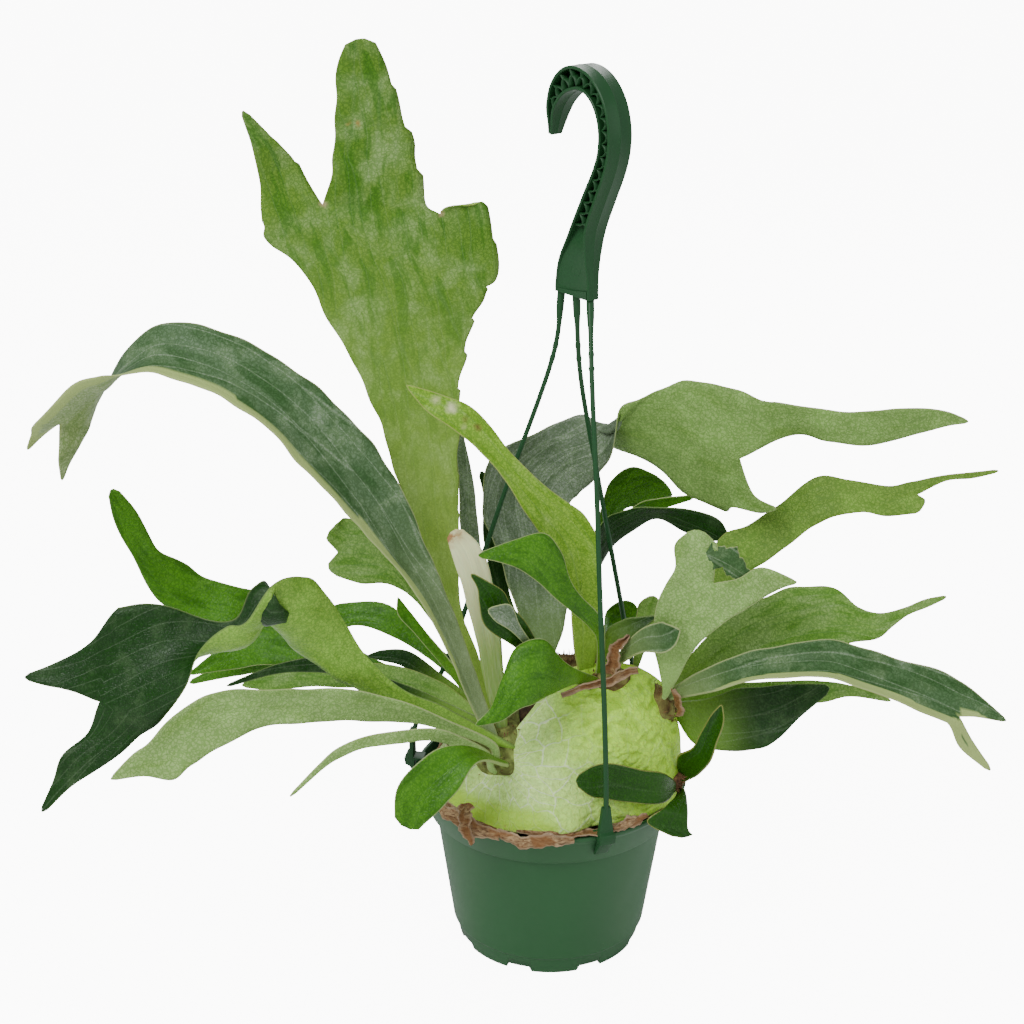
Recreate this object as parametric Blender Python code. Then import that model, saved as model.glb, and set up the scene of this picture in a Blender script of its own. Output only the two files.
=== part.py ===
"""Staghorn fern (Platycerium) in a green moulded hanging pot.

Everything is in millimetres until MM turns it into metres.  +Z is up, the origin
is the middle of the pot's foot, and -Y is the front of the plant.  An azimuth is
counted from the front towards +X, an elevation from the horizontal.

The plant is a root ball in the pot with a domed top.  Shield fronds wrap the dome,
rhizome crowns sit on it, and every antler frond stands in a slot of a crown.  The
hanger is a hook and three strands, each with a clip over the pot's rim.
"""

import math

import bpy
import numpy as np

MM = 0.001
GAP = 0.3                     # clearance between neighbours that touch

# Pot, a 6.5 inch hanging pot
RIM_RADIUS = 82.5
POT_HEIGHT = 108.7
COLLAR_FOOT_Z = 86.8          # lower edge of the flared collar
COLLAR_FOOT_RADIUS = 73.8
WALL_TOP_RADIUS = 69.8
WALL_FOOT_RADIUS = 59.0
FOOT_TOP_Z = 12.2             # seam where the foot ring steps in
FOOT_RADIUS = 55.1
FOOT_INNER_RADIUS = 51.6
PAD_RADIUS = 12.0             # pad in the middle of the foot, level with its ring
WALL = 1.8
FLOOR_Z = 5.0
POT_SIDES = 40
NOTCHES = 8                   # drain slots round the foot
NOTCH_FIRST = -18.0
NOTCH_WIDTH = (17.0, 13.0)    # at the foot and at the slot's top
NOTCH_HEIGHT = 4.0
DRAIN_HOLES = 6
DRAIN_RADIUS = 4.0
DRAIN_RING = 36.0
DRAIN_SIDES = 10
DRAIN_SPAN = (0.5, 9.0)       # heights that the drain holes' cutters span
CUT_PAST = 3.0                # how far a cutter runs past the wall that it cuts
BEAD_FOOT_Z = 104.0           # the rim's bead: where it starts, its height and width
BEAD_HEIGHT, BEAD_WIDTH = 2.4, 2.2

# Root ball: a plug in the pot under a dome about this centre
DOME_Z = 104.0
DOME_RADIUS = 71.0
# lumps of the dome: azimuth, elevation, gain, sharpness
DOME_LUMPS = ((88, 36, 11, 5), (60, 66, 2, 6), (-112, 58, -12, 4), (-50, 46, -7, 5))
BALL_SIDES = 30

# Crowns: patches of rhizome on the dome, azimuth and elevation of the middle, spread
CROWN_RINGS, CROWN_SPOKES = 5, 18
CROWN_BASE = 0.7              # height of a crown's underside over the dome
CROWN_EDGE = 1.6              # height of its rim
CROWN_SLOPE = 9.0             # how far a frond's foot lifts the crown around it
CROWN_LIP = 0.5               # how far the crown rises over a frond's foot
CROWN_CALM = 0.12             # pull towards the rim's height away from the feet
CROWN_FLOOR = 3.0             # least thickness left under a stalk
CROWN_ROOM = 0.8              # room that the shields leave round a crown
ROOT_DEPTH = 7.0              # how deep a stalk stands in its slot
ROOT_LEAN = 0.9               # how far the root follows the stalk's own direction
ROOT_TAPER = 0.85
SLOT_RUN = 60.0               # length of a stalk that its slot's cutter covers
SLOT_ROOM = 3 * GAP           # clearance round a stalk in its slot

# Fronds
STALK_THICKNESS = 3.0
BLADE_THICKNESS = 1.0
STALK_LENGTH = 45.0           # run over which the stalk thins to the blade
ROW_STEP = 17.0               # spacing of rows along a blade
WIDE_BLADE = 22.0             # from this width on a blade has four columns

# Hanger
FRONT_CLIP, BACK_CLIP, LEFT_CLIP = 22.0, 142.0, 262.0
HOOK_TURN = 50.0              # the hook's plane, from +X towards the front
HOOK_AXIS = (12.0, 4.0)
STRAND_RADIUS = 1.5

# Antler fronds.  A station of a blade is x, y, z of its middle line, its width and the
# turn of its upper face in degrees: 0 faces the front, and a positive turn sends the
# margin on the right-hand side of the growth to the back.  A sixth number is the slant:
# by how many degrees the right-hand margin runs ahead of the left-hand one.  The notches
# part the end of a blade into lobes, each with stations of its own.  The cup is the sag
# across.
FRONDS = {
    "frond_tall": dict(
        crown="crown_left", tone="light",
        blade=((-34, -30, 156, 6, 0), (-46, -30, 196, 9, 30), (-58, -26, 224, 13, 35),
               (-66, -22, 270, 27, 25), (-72, -17, 310, 37, 20), (-78, -12, 352, 51, 15),
               (-85, -6, 386, 76, 15, -12), (-91, -2, 414, 104, 12, -22),
               (-95, 0, 425, 128, 10, -22), (-100, 2, 450, 124, 10, -8)),
        notches=((-129, 2, 455), (-65, 8, 449)),
        lobes=(((-152, 0, 471, 24, 20, -28), (-158, -4, 489, 17, 12, -38), (-169, -8, 507, 3, 12)),
               ((-98, 4, 462, 54, 12, -15), (-100, 4, 479, 47, 12, -10), (-100, 4, 493, 43, 12, -16),
                (-103, 2, 510, 35, 10, -20), (-105, 0, 527, 29, 10, -12), (-106, -4, 545, 14, 10)),
               ((-54, 8, 454, 20, 10, 84),))),
    "frond_arch_left": dict(
        crown="crown_left", tone="deep", cup=(0.16,),
        blade=((-33, -41, 149, 7, 30), (-55, -52, 217, 14, 45), (-66, -56, 247, 18, 50),
               (-81, -60, 276, 29, 45, -28), (-96, -64, 306, 36, 45), (-117, -66, 335, 41, 45),
               (-142, -66, 362, 38, 45), (-170, -62, 380, 35, 42), (-196, -58, 388, 34, 40),
               (-217, -52, 388, 30, 55), (-234, -47, 378, 28, 80, 10), (-246, -43, 368, 34, 105, 28),
               (-256, -40, 360, 35, 120, 20), (-272, -34, 338, 36, 135)),
        notches=((-274, -34, 338),),
        lobes=(((-288, -34, 330, 9, 125), (-293, -34, 323, 2, 130)),
               ((-270, -32, 324, 14, 135), (-274, -31, 314, 8, 130),
                (-276, -31, 304, 2, 125)))),
    "frond_behind_left": dict(
        crown="crown_left", tone="bright",
        blade=((-46, -17, 151, 7, 20), (-89, 6, 162, 11, 40), (-126, 16, 174, 18, 40, 15),
               (-152, 20, 184, 32, 30, 19), (-174, 22, 189, 43, 26, 16)),
        notches=((-178, 22, 187),),
        lobes=(((-192, 20, 172, 16, 22, -16), (-206, 18, 168, 12, 20, -28), (-220, 16, 161, 2, 20)),
               ((-192, 24, 203, 24, 32, 18), (-212, 24, 208, 27, 25, 17), (-230, 22, 220, 28, 22, 12),
                (-242, 18, 238, 15, 22), (-251, 14, 262, 15, 20), (-258, 10, 283, 6, 20)))),
    "frond_fork_left": dict(
        crown="crown_left", tone="deep",
        cup=(0.02, 0.02, 0.05, 0.05, 0.05, 0.08, 0.2, 0.5, 0.35, 0.45, 0.3, 0.12, 0.06),
        blade=((-26, -48, 151, 5, 160), (-63, -58, 174, 14, 170), (-85, -66, 187, 18, 178, -35),
               (-104, -74, 208, 27, 188, -50), (-115, -80, 224, 42, 194, -54),
               (-126, -88, 242, 50, 188, -46), (-138, -94, 254, 52, 168, -40),
               (-150, -97, 272, 46, 116), (-163, -98, 259, 38, 86),
               (-173, -98, 249, 34, 104, 10), (-189, -98, 241, 32, 80),
               (-206, -98, 235, 50, 36), (-224, -98, 223, 66, 20, -10)),
        notches=((-247, -100, 201),),
        lobes=(((-240, -102, 182, 32, 18, 32), (-256, -104, 168, 26, 18, 36),
                (-270, -106, 152, 12, 20, 35), (-282, -108, 136, 3, 15)),
               ((-257, -96, 220, 29, 24, -30), (-272, -96, 215, 14, 26, -22), (-288, -96, 213, 3, 20)))),
    "frond_pale_left": dict(
        crown="crown_left", tone="pale", cup=(-0.06,),
        blade=((-31, -53, 145, 5, 178), (-35, -60, 158, 5, 178), (-62, -71, 176, 8, 174),
               (-84, -78, 186, 14, 174),
               (-110, -86, 194, 22, 172), (-138, -96, 198, 23, 172), (-157, -103, 200, 25, 172),
               (-172, -109, 200, 32, 172), (-190, -113, 192, 33, 172, 15), (-202, -116, 184, 30, 172, 15),
               (-212, -118, 174, 27, 174), (-224, -119, 172, 15, 174), (-239, -120, 164, 2, 176))),
    "frond_narrow_left": dict(
        crown="crown_left", tone="pale",
        blade=((-34, -58, 141, 4, 185), (-38, -64, 154, 5, 185), (-62, -84, 175, 9, 175),
               (-83, -92, 178, 9, 170),
               (-102, -98, 178, 8, 168), (-115, -103, 174, 7, 168), (-126, -106, 166, 4, 170),
               (-143, -110, 150, 2, 175))),
    "frond_leaf_low": dict(
        crown="crown_left", tone="bright", cup=(0.08,),
        blade=((-28, -62, 147, 5, 105), (-44, -89, 167, 13, 80), (-59, -100, 161, 26, 20),
               (-73, -106, 147, 26, 10), (-80, -108, 130, 13, 10))),
    "frond_behind_lobed": dict(
        crown="crown_left", tone="light",
        blade=((-38, 8, 151, 3, -5), (-70, 30, 196, 9, 25), (-96, 40, 229, 35, 20, 45),
               (-120, 44, 232, 40, 20, 20)),
        notches=((-131, 44, 231),),
        lobes=(((-136, 42, 220, 7, 20),), ((-134, 46, 246, 15, 18),))),
    "frond_strap_back": dict(
        crown="crown_left", tone="bright",
        blade=((-38, 3, 150, 4, 5), (-60, 14, 169, 9, 10), (-83, 24, 182, 9, 25),
               (-102, 30, 194, 17, 25), (-126, 34, 194, 15, 30), (-148, 36, 178, 23, 25, -25),
               (-174, 36, 168, 24, 15, -20), (-196, 36, 157, 13, 15, -32), (-224, 34, 146, 3, 10))),
    "frond_bud_leaf": dict(
        crown="crown_left", tone="bright",
        blade=((-46, -11, 161, 4, -5), (-60, -7, 179, 6, 0), (-78, -4, 201, 6, 20),
               (-88, -2, 213, 7, 20), (-91, -1, 222, 1, 15))),
    "frond_strap_olive": dict(
        crown="crown_left", tone="light",
        blade=((-40, -25, 154, 5, 0), (-62, -16, 166, 10, 28), (-88, -8, 173, 12, 28),
               (-114, -2, 171, 15, 25), (-145, 3, 168, 14, 25), (-170, 6, 162, 11, 22),
               (-187, 8, 158, 3, 15))),
    "frond_leaf_dark_left": dict(
        crown="crown_left", tone="deep",
        blade=((-42, -4, 151, 5, 0), (-68, 0, 168, 8, 18), (-86, 2, 180, 10, 24),
               (-100, 3, 182, 7, 20), (-110, 4, 181, 2, 5))),
    "frond_strap_dark_left": dict(
        crown="crown_left", tone="deep",
        blade=((-45, -34, 160, 4, 0), (-76, -29, 172, 5, 22), (-112, -26, 182, 10, 24),
               (-128, -25, 189, 11, 22), (-159, -23, 185, 6, 20), (-191, -21, 172, 2, 10))),
    "frond_cream_stub": dict(
        crown="crown_left", tone="cream",
        blade=((-28, -33, 152, 6, 0), (-32, -44, 184, 11, 12), (-36, -47, 217, 14, 12),
               (-42, -48, 250, 17, 14), (-48, -47, 270, 17, 10), (-56, -46, 283, 9, 10))),
    "frond_central": dict(
        crown="crown_top", tone="light", cup=(0.08,),
        blade=((20, -12, 179, 8, 18), (20, -18, 204, 16, 15), (18, -24, 238, 18, 16),
               (14, -31, 266, 26, 18, -18), (2, -37, 288, 32, 22, -36),
               (-16, -43, 311, 31, 32, -62), (-32, -47, 330, 20, 34, -52),
               (-50, -50, 350, 18, 28, -24), (-65, -52, 360, 13, 22, -28),
               (-80, -54, 370, 2, 10))),
    "frond_leaf_mid": dict(
        crown="crown_top", tone="bright",
        blade=((28, -18, 187, 4, 10), (28, -28, 209, 5, 0), (24, -38, 225, 9, 14),
               (8, -52, 248, 12, 28), (-4, -58, 269, 22, 20), (-13, -60, 278, 25, 18, -22),
               (-25, -62, 278, 15, 22, -38), (-41, -64, 276, 3, 5))),
    "frond_arch_right": dict(
        crown="crown_top", tone="deep",
        cup=(0.04, 0.06, 0.08, 0.1, 0.14, 0.2, 0.25, 0.3, 0.2, 0.1, 0.06, 0.04, 0.02),
        blade=((-2, 8, 180, 7, 20), (-6, 16, 200, 28, 20, -16), (-10, 26, 234, 45, 20, -15),
               (-17, 36, 265, 54, 18), (-11, 42, 282, 62, 12, 12), (4, 44, 296, 50, 0, 22),
               (17, 46, 307, 42, -34, 21), (26, 48, 322, 48, -88, 30),
               (36, 48, 323, 58, -132, 38), (47, 41, 321, 62, -158, 32),
               (68, 34, 320, 66, -164, 11), (89, 26, 312, 76, -168), (108, 18, 306, 76, -170)),
        notches=((107, 15, 306),),
        lobes=(((109, 14, 282, 16, -165, -30), (119, 12, 278, 9, -175, -20), (129, 10, 277, 2, -180)),
               ((133, 10, 332, 23, -168, 12), (159, 4, 330, 22, -166, 18), (182, 0, 331, 24, -166, 12),
                (202, -4, 337, 18, -168), (218, -6, 339, 10, -170), (231, -8, 338, 2, -175)))),
    "frond_leaf_round_back": dict(
        crown="crown_top", tone="bright",
        blade=((23, 26, 177, 2, 5), (21, 60, 208, 5, 22), (36, 72, 252, 15, 20),
               (47, 76, 259, 34, 12, 14), (58, 76, 266, 33, 14, 20),
               (69, 75, 266, 17, 18, 34))),
    "frond_strap_small_back": dict(
        crown="crown_top", tone="bright",
        blade=((24, 19, 178, 2, 0), (22, 50, 205, 3, 0), (35, 63, 234, 6, 22),
               (51, 64, 255, 5, 24), (65, 63, 259, 8, 15), (85, 61, 264, 3, 5))),
    "frond_leaf_back_right": dict(
        crown="crown_top", tone="deep",
        blade=((18, 6, 182, 2, 0), (18, 32, 206, 5, 15), (30, 52, 238, 21, 32, -30),
               (48, 54, 252, 17, 24), (64, 54, 256, 12, 34), (81, 52, 252, 19, 20),
               (96, 50, 247, 17, 15), (105, 49, 242, 5, 15))),
    "frond_spread_right_high": dict(
        crown="crown_right", tone="pale",
        blade=((71, 14, 158, 5, 160), (86, 24, 193, 10, 148), (103, 32, 232, 27, 154, 26),
               (122, 34, 246, 25, 148), (142, 34, 262, 23, 144), (158, 32, 276, 26, 152),
               (177, 30, 278, 21, 152, -24), (196, 28, 276, 18, 156), (210, 26, 279, 19, 160)),
        notches=((213, 26, 281),),
        lobes=(((217, 25, 276, 5, 178),),
               ((227, 24, 292, 4, 178), (242, 22, 295, 4, 178), (257, 20, 299, 2, 178)))),
    "frond_pale_fork": dict(
        crown="crown_right", tone="pale",
        blade=((68, -14, 170, 5, 160), (70, -22, 202, 23, 170), (76, -28, 223, 36, 172, -12),
               (85, -32, 237, 46, 172, -22)),
        notches=((91, -31, 247),),
        lobes=(((112, -38, 248, 19, 176, -32), (122, -42, 256, 16, 178, -28), (136, -46, 255, 2, 178)),
               ((80, -33, 258, 23, 176), (80, -33, 271, 24, 176), (80, -32, 280, 7, 178)))),
    "frond_spread_right_mid": dict(
        crown="crown_right", tone="light",
        blade=((71, 4, 158, 5, -5), (86, 2, 176, 17, -14), (110, 0, 198, 29, -20),
               (131, -2, 209, 34, -20), (151, -4, 215, 38, -22, 12), (171, -6, 217, 34, -22, 26),
               (184, -8, 214, 22, -22, 40), (194, -9, 216, 11, -20, 24), (205, -10, 222, 5, -18),
               (216, -11, 228, 5, -15), (227, -12, 233, 2, -10))),
    "frond_arch_right_low": dict(
        crown="crown_right", tone="deep", cup=(0.2,),
        blade=((68, -10, 164, 5, -15), (88, -22, 180, 13, -34), (112, -32, 195, 17, -40),
               (136, -40, 204, 20, -46), (158, -46, 208, 23, -44), (178, -50, 204, 24, -42),
               (196, -53, 199, 23, -38), (212, -55, 194, 27, -32), (228, -56, 187, 25, -30)),
        notches=((231, -58, 179),),
        lobes=(((244, -58, 184, 10, -25), (257, -60, 178, 2, -15)),
               ((236, -60, 163, 9, -28), (250, -63, 148, 3, -30)))),
    "frond_dark_right": dict(
        crown="crown_right", tone="deep",
        blade=((74, 8, 149, 6, 5), (90, 2, 142, 28, -22), (112, -2, 145, 37, -24),
               (136, -4, 152, 34, -26, -24), (150, -6, 161, 21, -30, -42), (164, -8, 171, 5, -25))),
    "frond_pale_right_back": dict(
        crown="crown_right", tone="light",
        blade=((73, 20, 148, 4, 0), (115, 22, 152, 11, -18), (160, 24, 152, 14, -18),
               (182, 24, 153, 7, -25), (207, 24, 147, 2, -10))),
    "frond_leaf_right": dict(
        crown="crown_low", tone="bright", cup=(0.15,),
        blade=((78, -20, 114, 5, -30), (81, -31, 130, 16, -26), (88, -38, 141, 13, -26),
               (92, -40, 154, 11, -26), (96, -42, 167, 9, -25), (98, -42, 176, 2, -10))),
    "frond_leaf_short_low": dict(
        crown="crown_low", tone="deep", cup=(0.06,),
        blade=((74, -32, 117, 4, 70), (66, -54, 127, 17, 35), (50, -64, 134, 20, 20),
               (34, -69, 140, 21, 16), (24, -72, 141, 18, 16), (15, -73, 142, 6, 15))),
    "frond_leaf_corner": dict(
        crown="crown_low", tone="bright",
        blade=((78, -34, 114, 4, 160), (73, -62, 118, 16, 45, 32), (68, -68, 111, 26, -30, -25),
               (78, -69, 104, 12, -50, -48))),
    "frond_leaf_shield": dict(
        crown="crown_top", tone="bright", cup=(-0.06,),
        blade=((24, -24, 179, 9, 35), (15, -42, 192, 8, 38), (4, -54, 198, 19, 32),
               (-6, -64, 207, 35, 24), (-18, -70, 205, 34, 20, -32), (-28, -74, 192, 22, 20, -50),
               (-34, -76, 184, 10, 20, -50), (-42, -78, 179, 2, 5))),
    "frond_leaf_dark_mid": dict(
        crown="crown_top", tone="bright",
        blade=((2, -14, 176, 4, 8), (-7, -36, 202, 5, 10), (-18, -54, 223, 14, 22),
               (-30, -60, 238, 19, 20), (-34, -62, 250, 15, 18), (-39, -63, 258, 7, 15),
               (-45, -64, 265, 2, 5))),
    "frond_leaf_curl": dict(
        crown="crown_top", tone="deep", cup=(0.1,),
        blade=((6, -18, 176, 4, 5), (-10, -46, 210, 4, 10), (-20, -64, 232, 6, 18),
               (-27, -70, 244, 12, 12), (-35, -72, 247, 3, 5))),
    "frond_cup_leaf_a": dict(
        crown="crown_top", tone="deep", cup=(0.15,),
        blade=((32, -6, 184, 3, -5), (34, -14, 204, 9, -40), (44, -16, 211, 12, -32),
               (52, -16, 215, 7, -32), (60, -16, 219, 2, -10))),
    "frond_cup_leaf_b": dict(
        crown="crown_top", tone="deep", cup=(0.2,),
        blade=((36, -16, 187, 4, -15), (50, -30, 209, 12, -45), (62, -34, 214, 18, -38),
               (68, -34, 216, 13, -28), (73, -34, 219, 2, -10))),
    "frond_leaf_round_a": dict(
        crown="crown_top", tone="bright",
        blade=((30, 16, 179, 2, 215), (34, 54, 173, 3, 240), (41, 76, 174, 18, 315),
               (47, 78, 180, 17, 360), (51, 78, 185, 7, 360))),
    "frond_leaf_round_b": dict(
        crown="crown_top", tone="light",
        blade=((50, 8, 173, 3, -5), (56, 18, 202, 12, 5), (58, 19, 210, 13, 8),
               (61, 19, 216, 5, 5))),
    "frond_strap_rear_a": dict(
        crown="crown_left", tone="deep",
        blade=((-31, 6, 156, 4, 0), (-40, 12, 200, 7, 15), (-49, 18, 252, 11, 20),
               (-52, 20, 289, 9, 22), (-57, 22, 324, 4, 10))),
    "frond_strap_rear_b": dict(
        crown="crown_top", tone="deep",
        blade=((-10, 6, 178, 4, 10), (-29, 28, 209, 8, 22), (-36, 42, 242, 13, 20),
               (-38, 47, 266, 9, 16), (-44, 49, 283, 4, 5))),
}


# Shield fronds, laid on the dome: azimuth and elevation pairs of their edges
SHIELDS = {
    "shield_front": dict(
        lower=((-88, 9), (-20, 9), (30, 10), (100, 10)),
        upper=((-88, 20), (-55, 27), (-38, 32), (-28, 44), (-16, 62), (5, 72),
               (35, 77), (65, 70), (84, 52), (100, 34)),
        flare=((-88, 1), (-60, 7), (10, 7), (34, 0), (100, 0)),
        rows=7, lift=2.4, material="shield_green"),
    "shield_back": dict(
        lower=((104, 8), (140, 7), (200, 8), (268, 8)),
        upper=((104, 24), (114, 26), (130, 44), (155, 70), (190, 76), (225, 68),
               (250, 34), (268, 26)),
        flare=((104, 0), (130, 4), (240, 4), (268, 0)),
        rows=6, lift=2.4, material="shield_dry"),
    "husk_front": dict(
        lower=((-74, 4.6), (-40, 4.4), (0, 4.4), (13, 4.6)),
        upper=((-74, 8), (13, 8)),
        flare=((-88, 1), (-60, 8.5), (10, 8.5), (34, 0)),
        rows=3, lift=0.95, material="shield_dry"),
}
SHIELD_THICKNESS = 1.1
SHIELD_STEP = 8.0             # degrees between the columns of a shield
FOLD_DEPTH, FOLDS = 0.5, 11
FLARE_ELEVATION, FLARE_FADE = 8.0, 7.0
CLIP_SHADOW = 9.0             # degrees on each side of a clip where nothing flares

# Crowns: middle, half lengths across and along, turn of the long axis
CROWNS = {
    "crown_left": dict(middle=(-61, 46), reach=(20, 40), turn=76),
    "crown_top": dict(middle=(88, 77), reach=(34, 31), turn=0),
    "crown_right": dict(middle=(91, 38), reach=(15, 22), turn=70),
    "crown_low": dict(middle=(70, 9.5), reach=(15, 5.0), turn=0),
}

# Hanger: middle line of the hook in its own plane, with its width across
HOOK_FOOT = ((-2, 404.8, 29, 7.8), (-2, 407.0, 29, 7.8), (-2, 409.0, 29, 7.8),
             (-1, 420, 26.5, 8.6), (3.2, 434, 18, 12.5), (8, 447, 12, 16),
             (16.3, 464.5, 10.4, 16.6), (22.0, 476, 9.6, 16.6), (25.6, 486, 9.2, 16.6))
HOOK_BOW = dict(middle=(2.8, 496.0), reach=(24.0, 29.4), start=-3, end=162,
                widths=(9.3, 9.5, 10.2, 11.5, 13.5, 11, 6.5),
                depths=(16.6, 16.6, 16.6, 16.4, 16.2, 15.6, 13.5))
HOOK_TIP = ((-21.4, 497.5, 4.2, 10.5), (-22.6, 491.5, 3.2, 8.0))
HOOK_WALL = 1.8
HOOK_WEB = 2.4
STRANDS = {
    "strand_front": (FRONT_CLIP, ((18.2, -3.4, 404.4), (19.7, -26, 365), (23.5, -47, 303),
                                  (26.2, -63, 250), (29.5, -74, 193), (31.6, -79, 145))),
    "strand_left": (LEFT_CLIP, ((2.4, 15.4, 404.4), (-2.6, 11, 365), (-30, 8, 282),
                                (-61, 6, 183), (-78, 9, 146))),
    "strand_back": (BACK_CLIP, ((10.5, 5.8, 404.4), (13.9, 14, 355), (24.8, 34, 290),
                                (43, 58, 190), (51, 66, 146))),
}
ROOT_SWELL, ROOT_FADE = 0.9, 1.2   # how much thicker a strand is at its root
STRAND_END_Z = 127.0
STRAND_END_RADIUS = 85.4
CLIP_WIDTH = 8.0
CLIP_FRONT = ((84.0, 129.0), (86.8, 129.0), (86.8, 113.0), (88.6, 112.0), (88.6, 104.5),
              (86.0, 103.5))       # the clip's tongue and button: radius and height
CLIP_FOOT_Z = 95.0            # lower end of the clip's outer jaw
CLIP_ROOM = 0.4               # clearance over the rim

COLOURS = {
    "pot_plastic": ((0.045, 0.135, 0.062), 0.45),
    "hanger_plastic": ((0.022, 0.085, 0.040), 0.42),
    "potting_mix": ((0.055, 0.035, 0.022), 0.95),
    "rhizome": ((0.150, 0.085, 0.040), 0.90),
    "shield_green": ((0.330, 0.460, 0.110), 0.60),
    "shield_dry": ((0.240, 0.110, 0.050), 0.85),
    "frond_deep": ((0.040, 0.110, 0.060), 0.50),
    "frond_bright": ((0.060, 0.170, 0.030), 0.45),
    "frond_light": ((0.170, 0.290, 0.075), 0.55),
    "frond_pale": ((0.300, 0.400, 0.180), 0.65),
    "frond_cream": ((0.700, 0.680, 0.450), 0.60),
}


def clear_scene():
    """Start from an empty scene."""
    for old in list(bpy.data.objects):
        bpy.data.objects.remove(old, do_unlink=True)


def material(name):
    """The part's plain material of that name."""
    found = bpy.data.materials.get(name)
    if found:
        return found
    colour, roughness = COLOURS[name]
    made = bpy.data.materials.new(name)
    made.use_nodes = True
    shader = made.node_tree.nodes["Principled BSDF"]
    shader.inputs["Base Color"].default_value = (*colour, 1.0)
    shader.inputs["Roughness"].default_value = roughness
    shader.inputs["Metallic"].default_value = 0.0
    return made


def add_object(name, points, faces, finish, smooth=True):
    """A mesh object from points in millimetres."""
    mesh = bpy.data.meshes.new(name)
    mesh.from_pydata((np.asarray(points, dtype=float) * MM).tolist(), [],
                     [tuple(int(i) for i in face) for face in faces])
    mesh.update()
    mesh.materials.append(material(finish))
    if smooth:
        mesh.shade_smooth()
        mesh.set_sharp_from_angle(angle=math.radians(40))
    made = bpy.data.objects.new(name, mesh)
    bpy.context.scene.collection.objects.link(made)
    return made


def as_cutter(made):
    """Keep a cutter out of renders and out of the part."""
    made.hide_render = True
    made.display_type = "WIRE"
    return made


def cut_away(body, cutter):
    """Cut one mesh or a collection of meshes out of a body."""
    cut = body.modifiers.new("cut", "BOOLEAN")
    cut.operation = "DIFFERENCE"
    cut.solver = "EXACT"
    if isinstance(cutter, bpy.types.Collection):
        cut.operand_type = "COLLECTION"
        cut.collection = cutter
    else:
        cut.object = cutter


def unit(vectors):
    """Vectors scaled to length 1."""
    size = np.linalg.norm(vectors, axis=-1, keepdims=True)
    return vectors / np.maximum(size, 1e-9)


def heading(azimuth, elevation):
    """Unit vector for an azimuth from the front and an elevation."""
    a, e = np.radians(azimuth), np.radians(elevation)
    return np.stack([np.sin(a) * np.cos(e), -np.cos(a) * np.cos(e), np.sin(e)], axis=-1)


def dome_radius(direction):
    """Distance of the dome's surface from its centre: a ball with smooth lumps."""
    radius = np.full(direction.shape[:-1], DOME_RADIUS)
    for azimuth, elevation, gain, sharpness in DOME_LUMPS:
        toward = np.clip(direction @ heading(azimuth, elevation), 0, 1)
        radius = radius + gain * toward ** sharpness
    return radius


def on_dome(direction, height):
    """Points at a height over the dome."""
    centre = np.array([0.0, 0.0, DOME_Z])
    return centre + direction * (dome_radius(direction) + height)[..., None]


def along(knots, steps, lead=None):
    """Smooth curve through the knots (Catmull-Rom), with so many steps in each span."""
    knots = np.asarray(knots, dtype=float)
    first = 2 * knots[0] - knots[1] if lead is None else lead
    padded = np.vstack([first, knots, 2 * knots[-1] - knots[-2]])
    rows = []
    for i, count in enumerate(steps):
        a, b, c, d = padded[i:i + 4]
        t = (np.arange(count) / count)[:, None]
        rows.append(0.5 * (2 * b + (c - a) * t + (2 * a - 5 * b + 4 * c - d) * t ** 2
                           + (3 * b - a - 3 * c + d) * t ** 3))
    rows.append(knots[-1:])
    return np.vstack(rows)


def grid_faces(index):
    """Quads of a grid of vertex numbers."""
    return np.stack([index[:-1, :-1], index[:-1, 1:], index[1:, 1:], index[1:, :-1]],
                    axis=-1).reshape(-1, 4)


def shell(points, quads, thickness):
    """Closed sheet: both faces split alike into triangles, joined round their border."""
    triangles = np.vstack([quads[:, [0, 1, 2]], quads[:, [0, 2, 3]]])
    edges = np.vstack([triangles[:, [0, 1]], triangles[:, [1, 2]], triangles[:, [2, 0]]])
    keys = {(int(a), int(b)) for a, b in edges}
    border = np.array([pair for pair in edges if (int(pair[1]), int(pair[0])) not in keys])
    corner = points[triangles]
    face_normal = np.cross(corner[:, 1] - corner[:, 0], corner[:, 2] - corner[:, 0])
    normal = np.zeros_like(points)
    for k in range(3):
        np.add.at(normal, triangles[:, k], face_normal)
    normal = unit(normal) * (np.asarray(thickness) / 2)[:, None]
    count = len(points)
    a, b = border[:, 0], border[:, 1]
    walls = np.vstack([np.stack([b, a, a + count], axis=-1),
                       np.stack([b, a + count, b + count], axis=-1)])
    faces = np.vstack([triangles, triangles[:, ::-1] + count, walls])
    return np.vstack([points + normal, points - normal]), faces


def margins(stations, before=None):
    """Left and right margins of a blade from its stations."""
    stations = np.array([(*station, 0.0)[:6] for station in stations], float)
    middle, width = stations[:, :3], stations[:, 3:4]
    turn, slant = np.radians(stations[:, 4:5]), np.radians(stations[:, 5:])
    line = middle if before is None else np.vstack([before, middle])
    run = unit(np.gradient(line, axis=0))[-len(middle):]
    level = unit(np.stack([run[:, 2], 0 * run[:, 2], -run[:, 0]], axis=-1))
    back = unit(np.array([0, 1, 0]) - run[:, 1:2] * run)
    across = level * np.cos(turn) + back * np.sin(turn)
    across = (across * np.cos(slant) + run * np.sin(slant)) * width / 2
    return middle - across, middle + across


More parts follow.
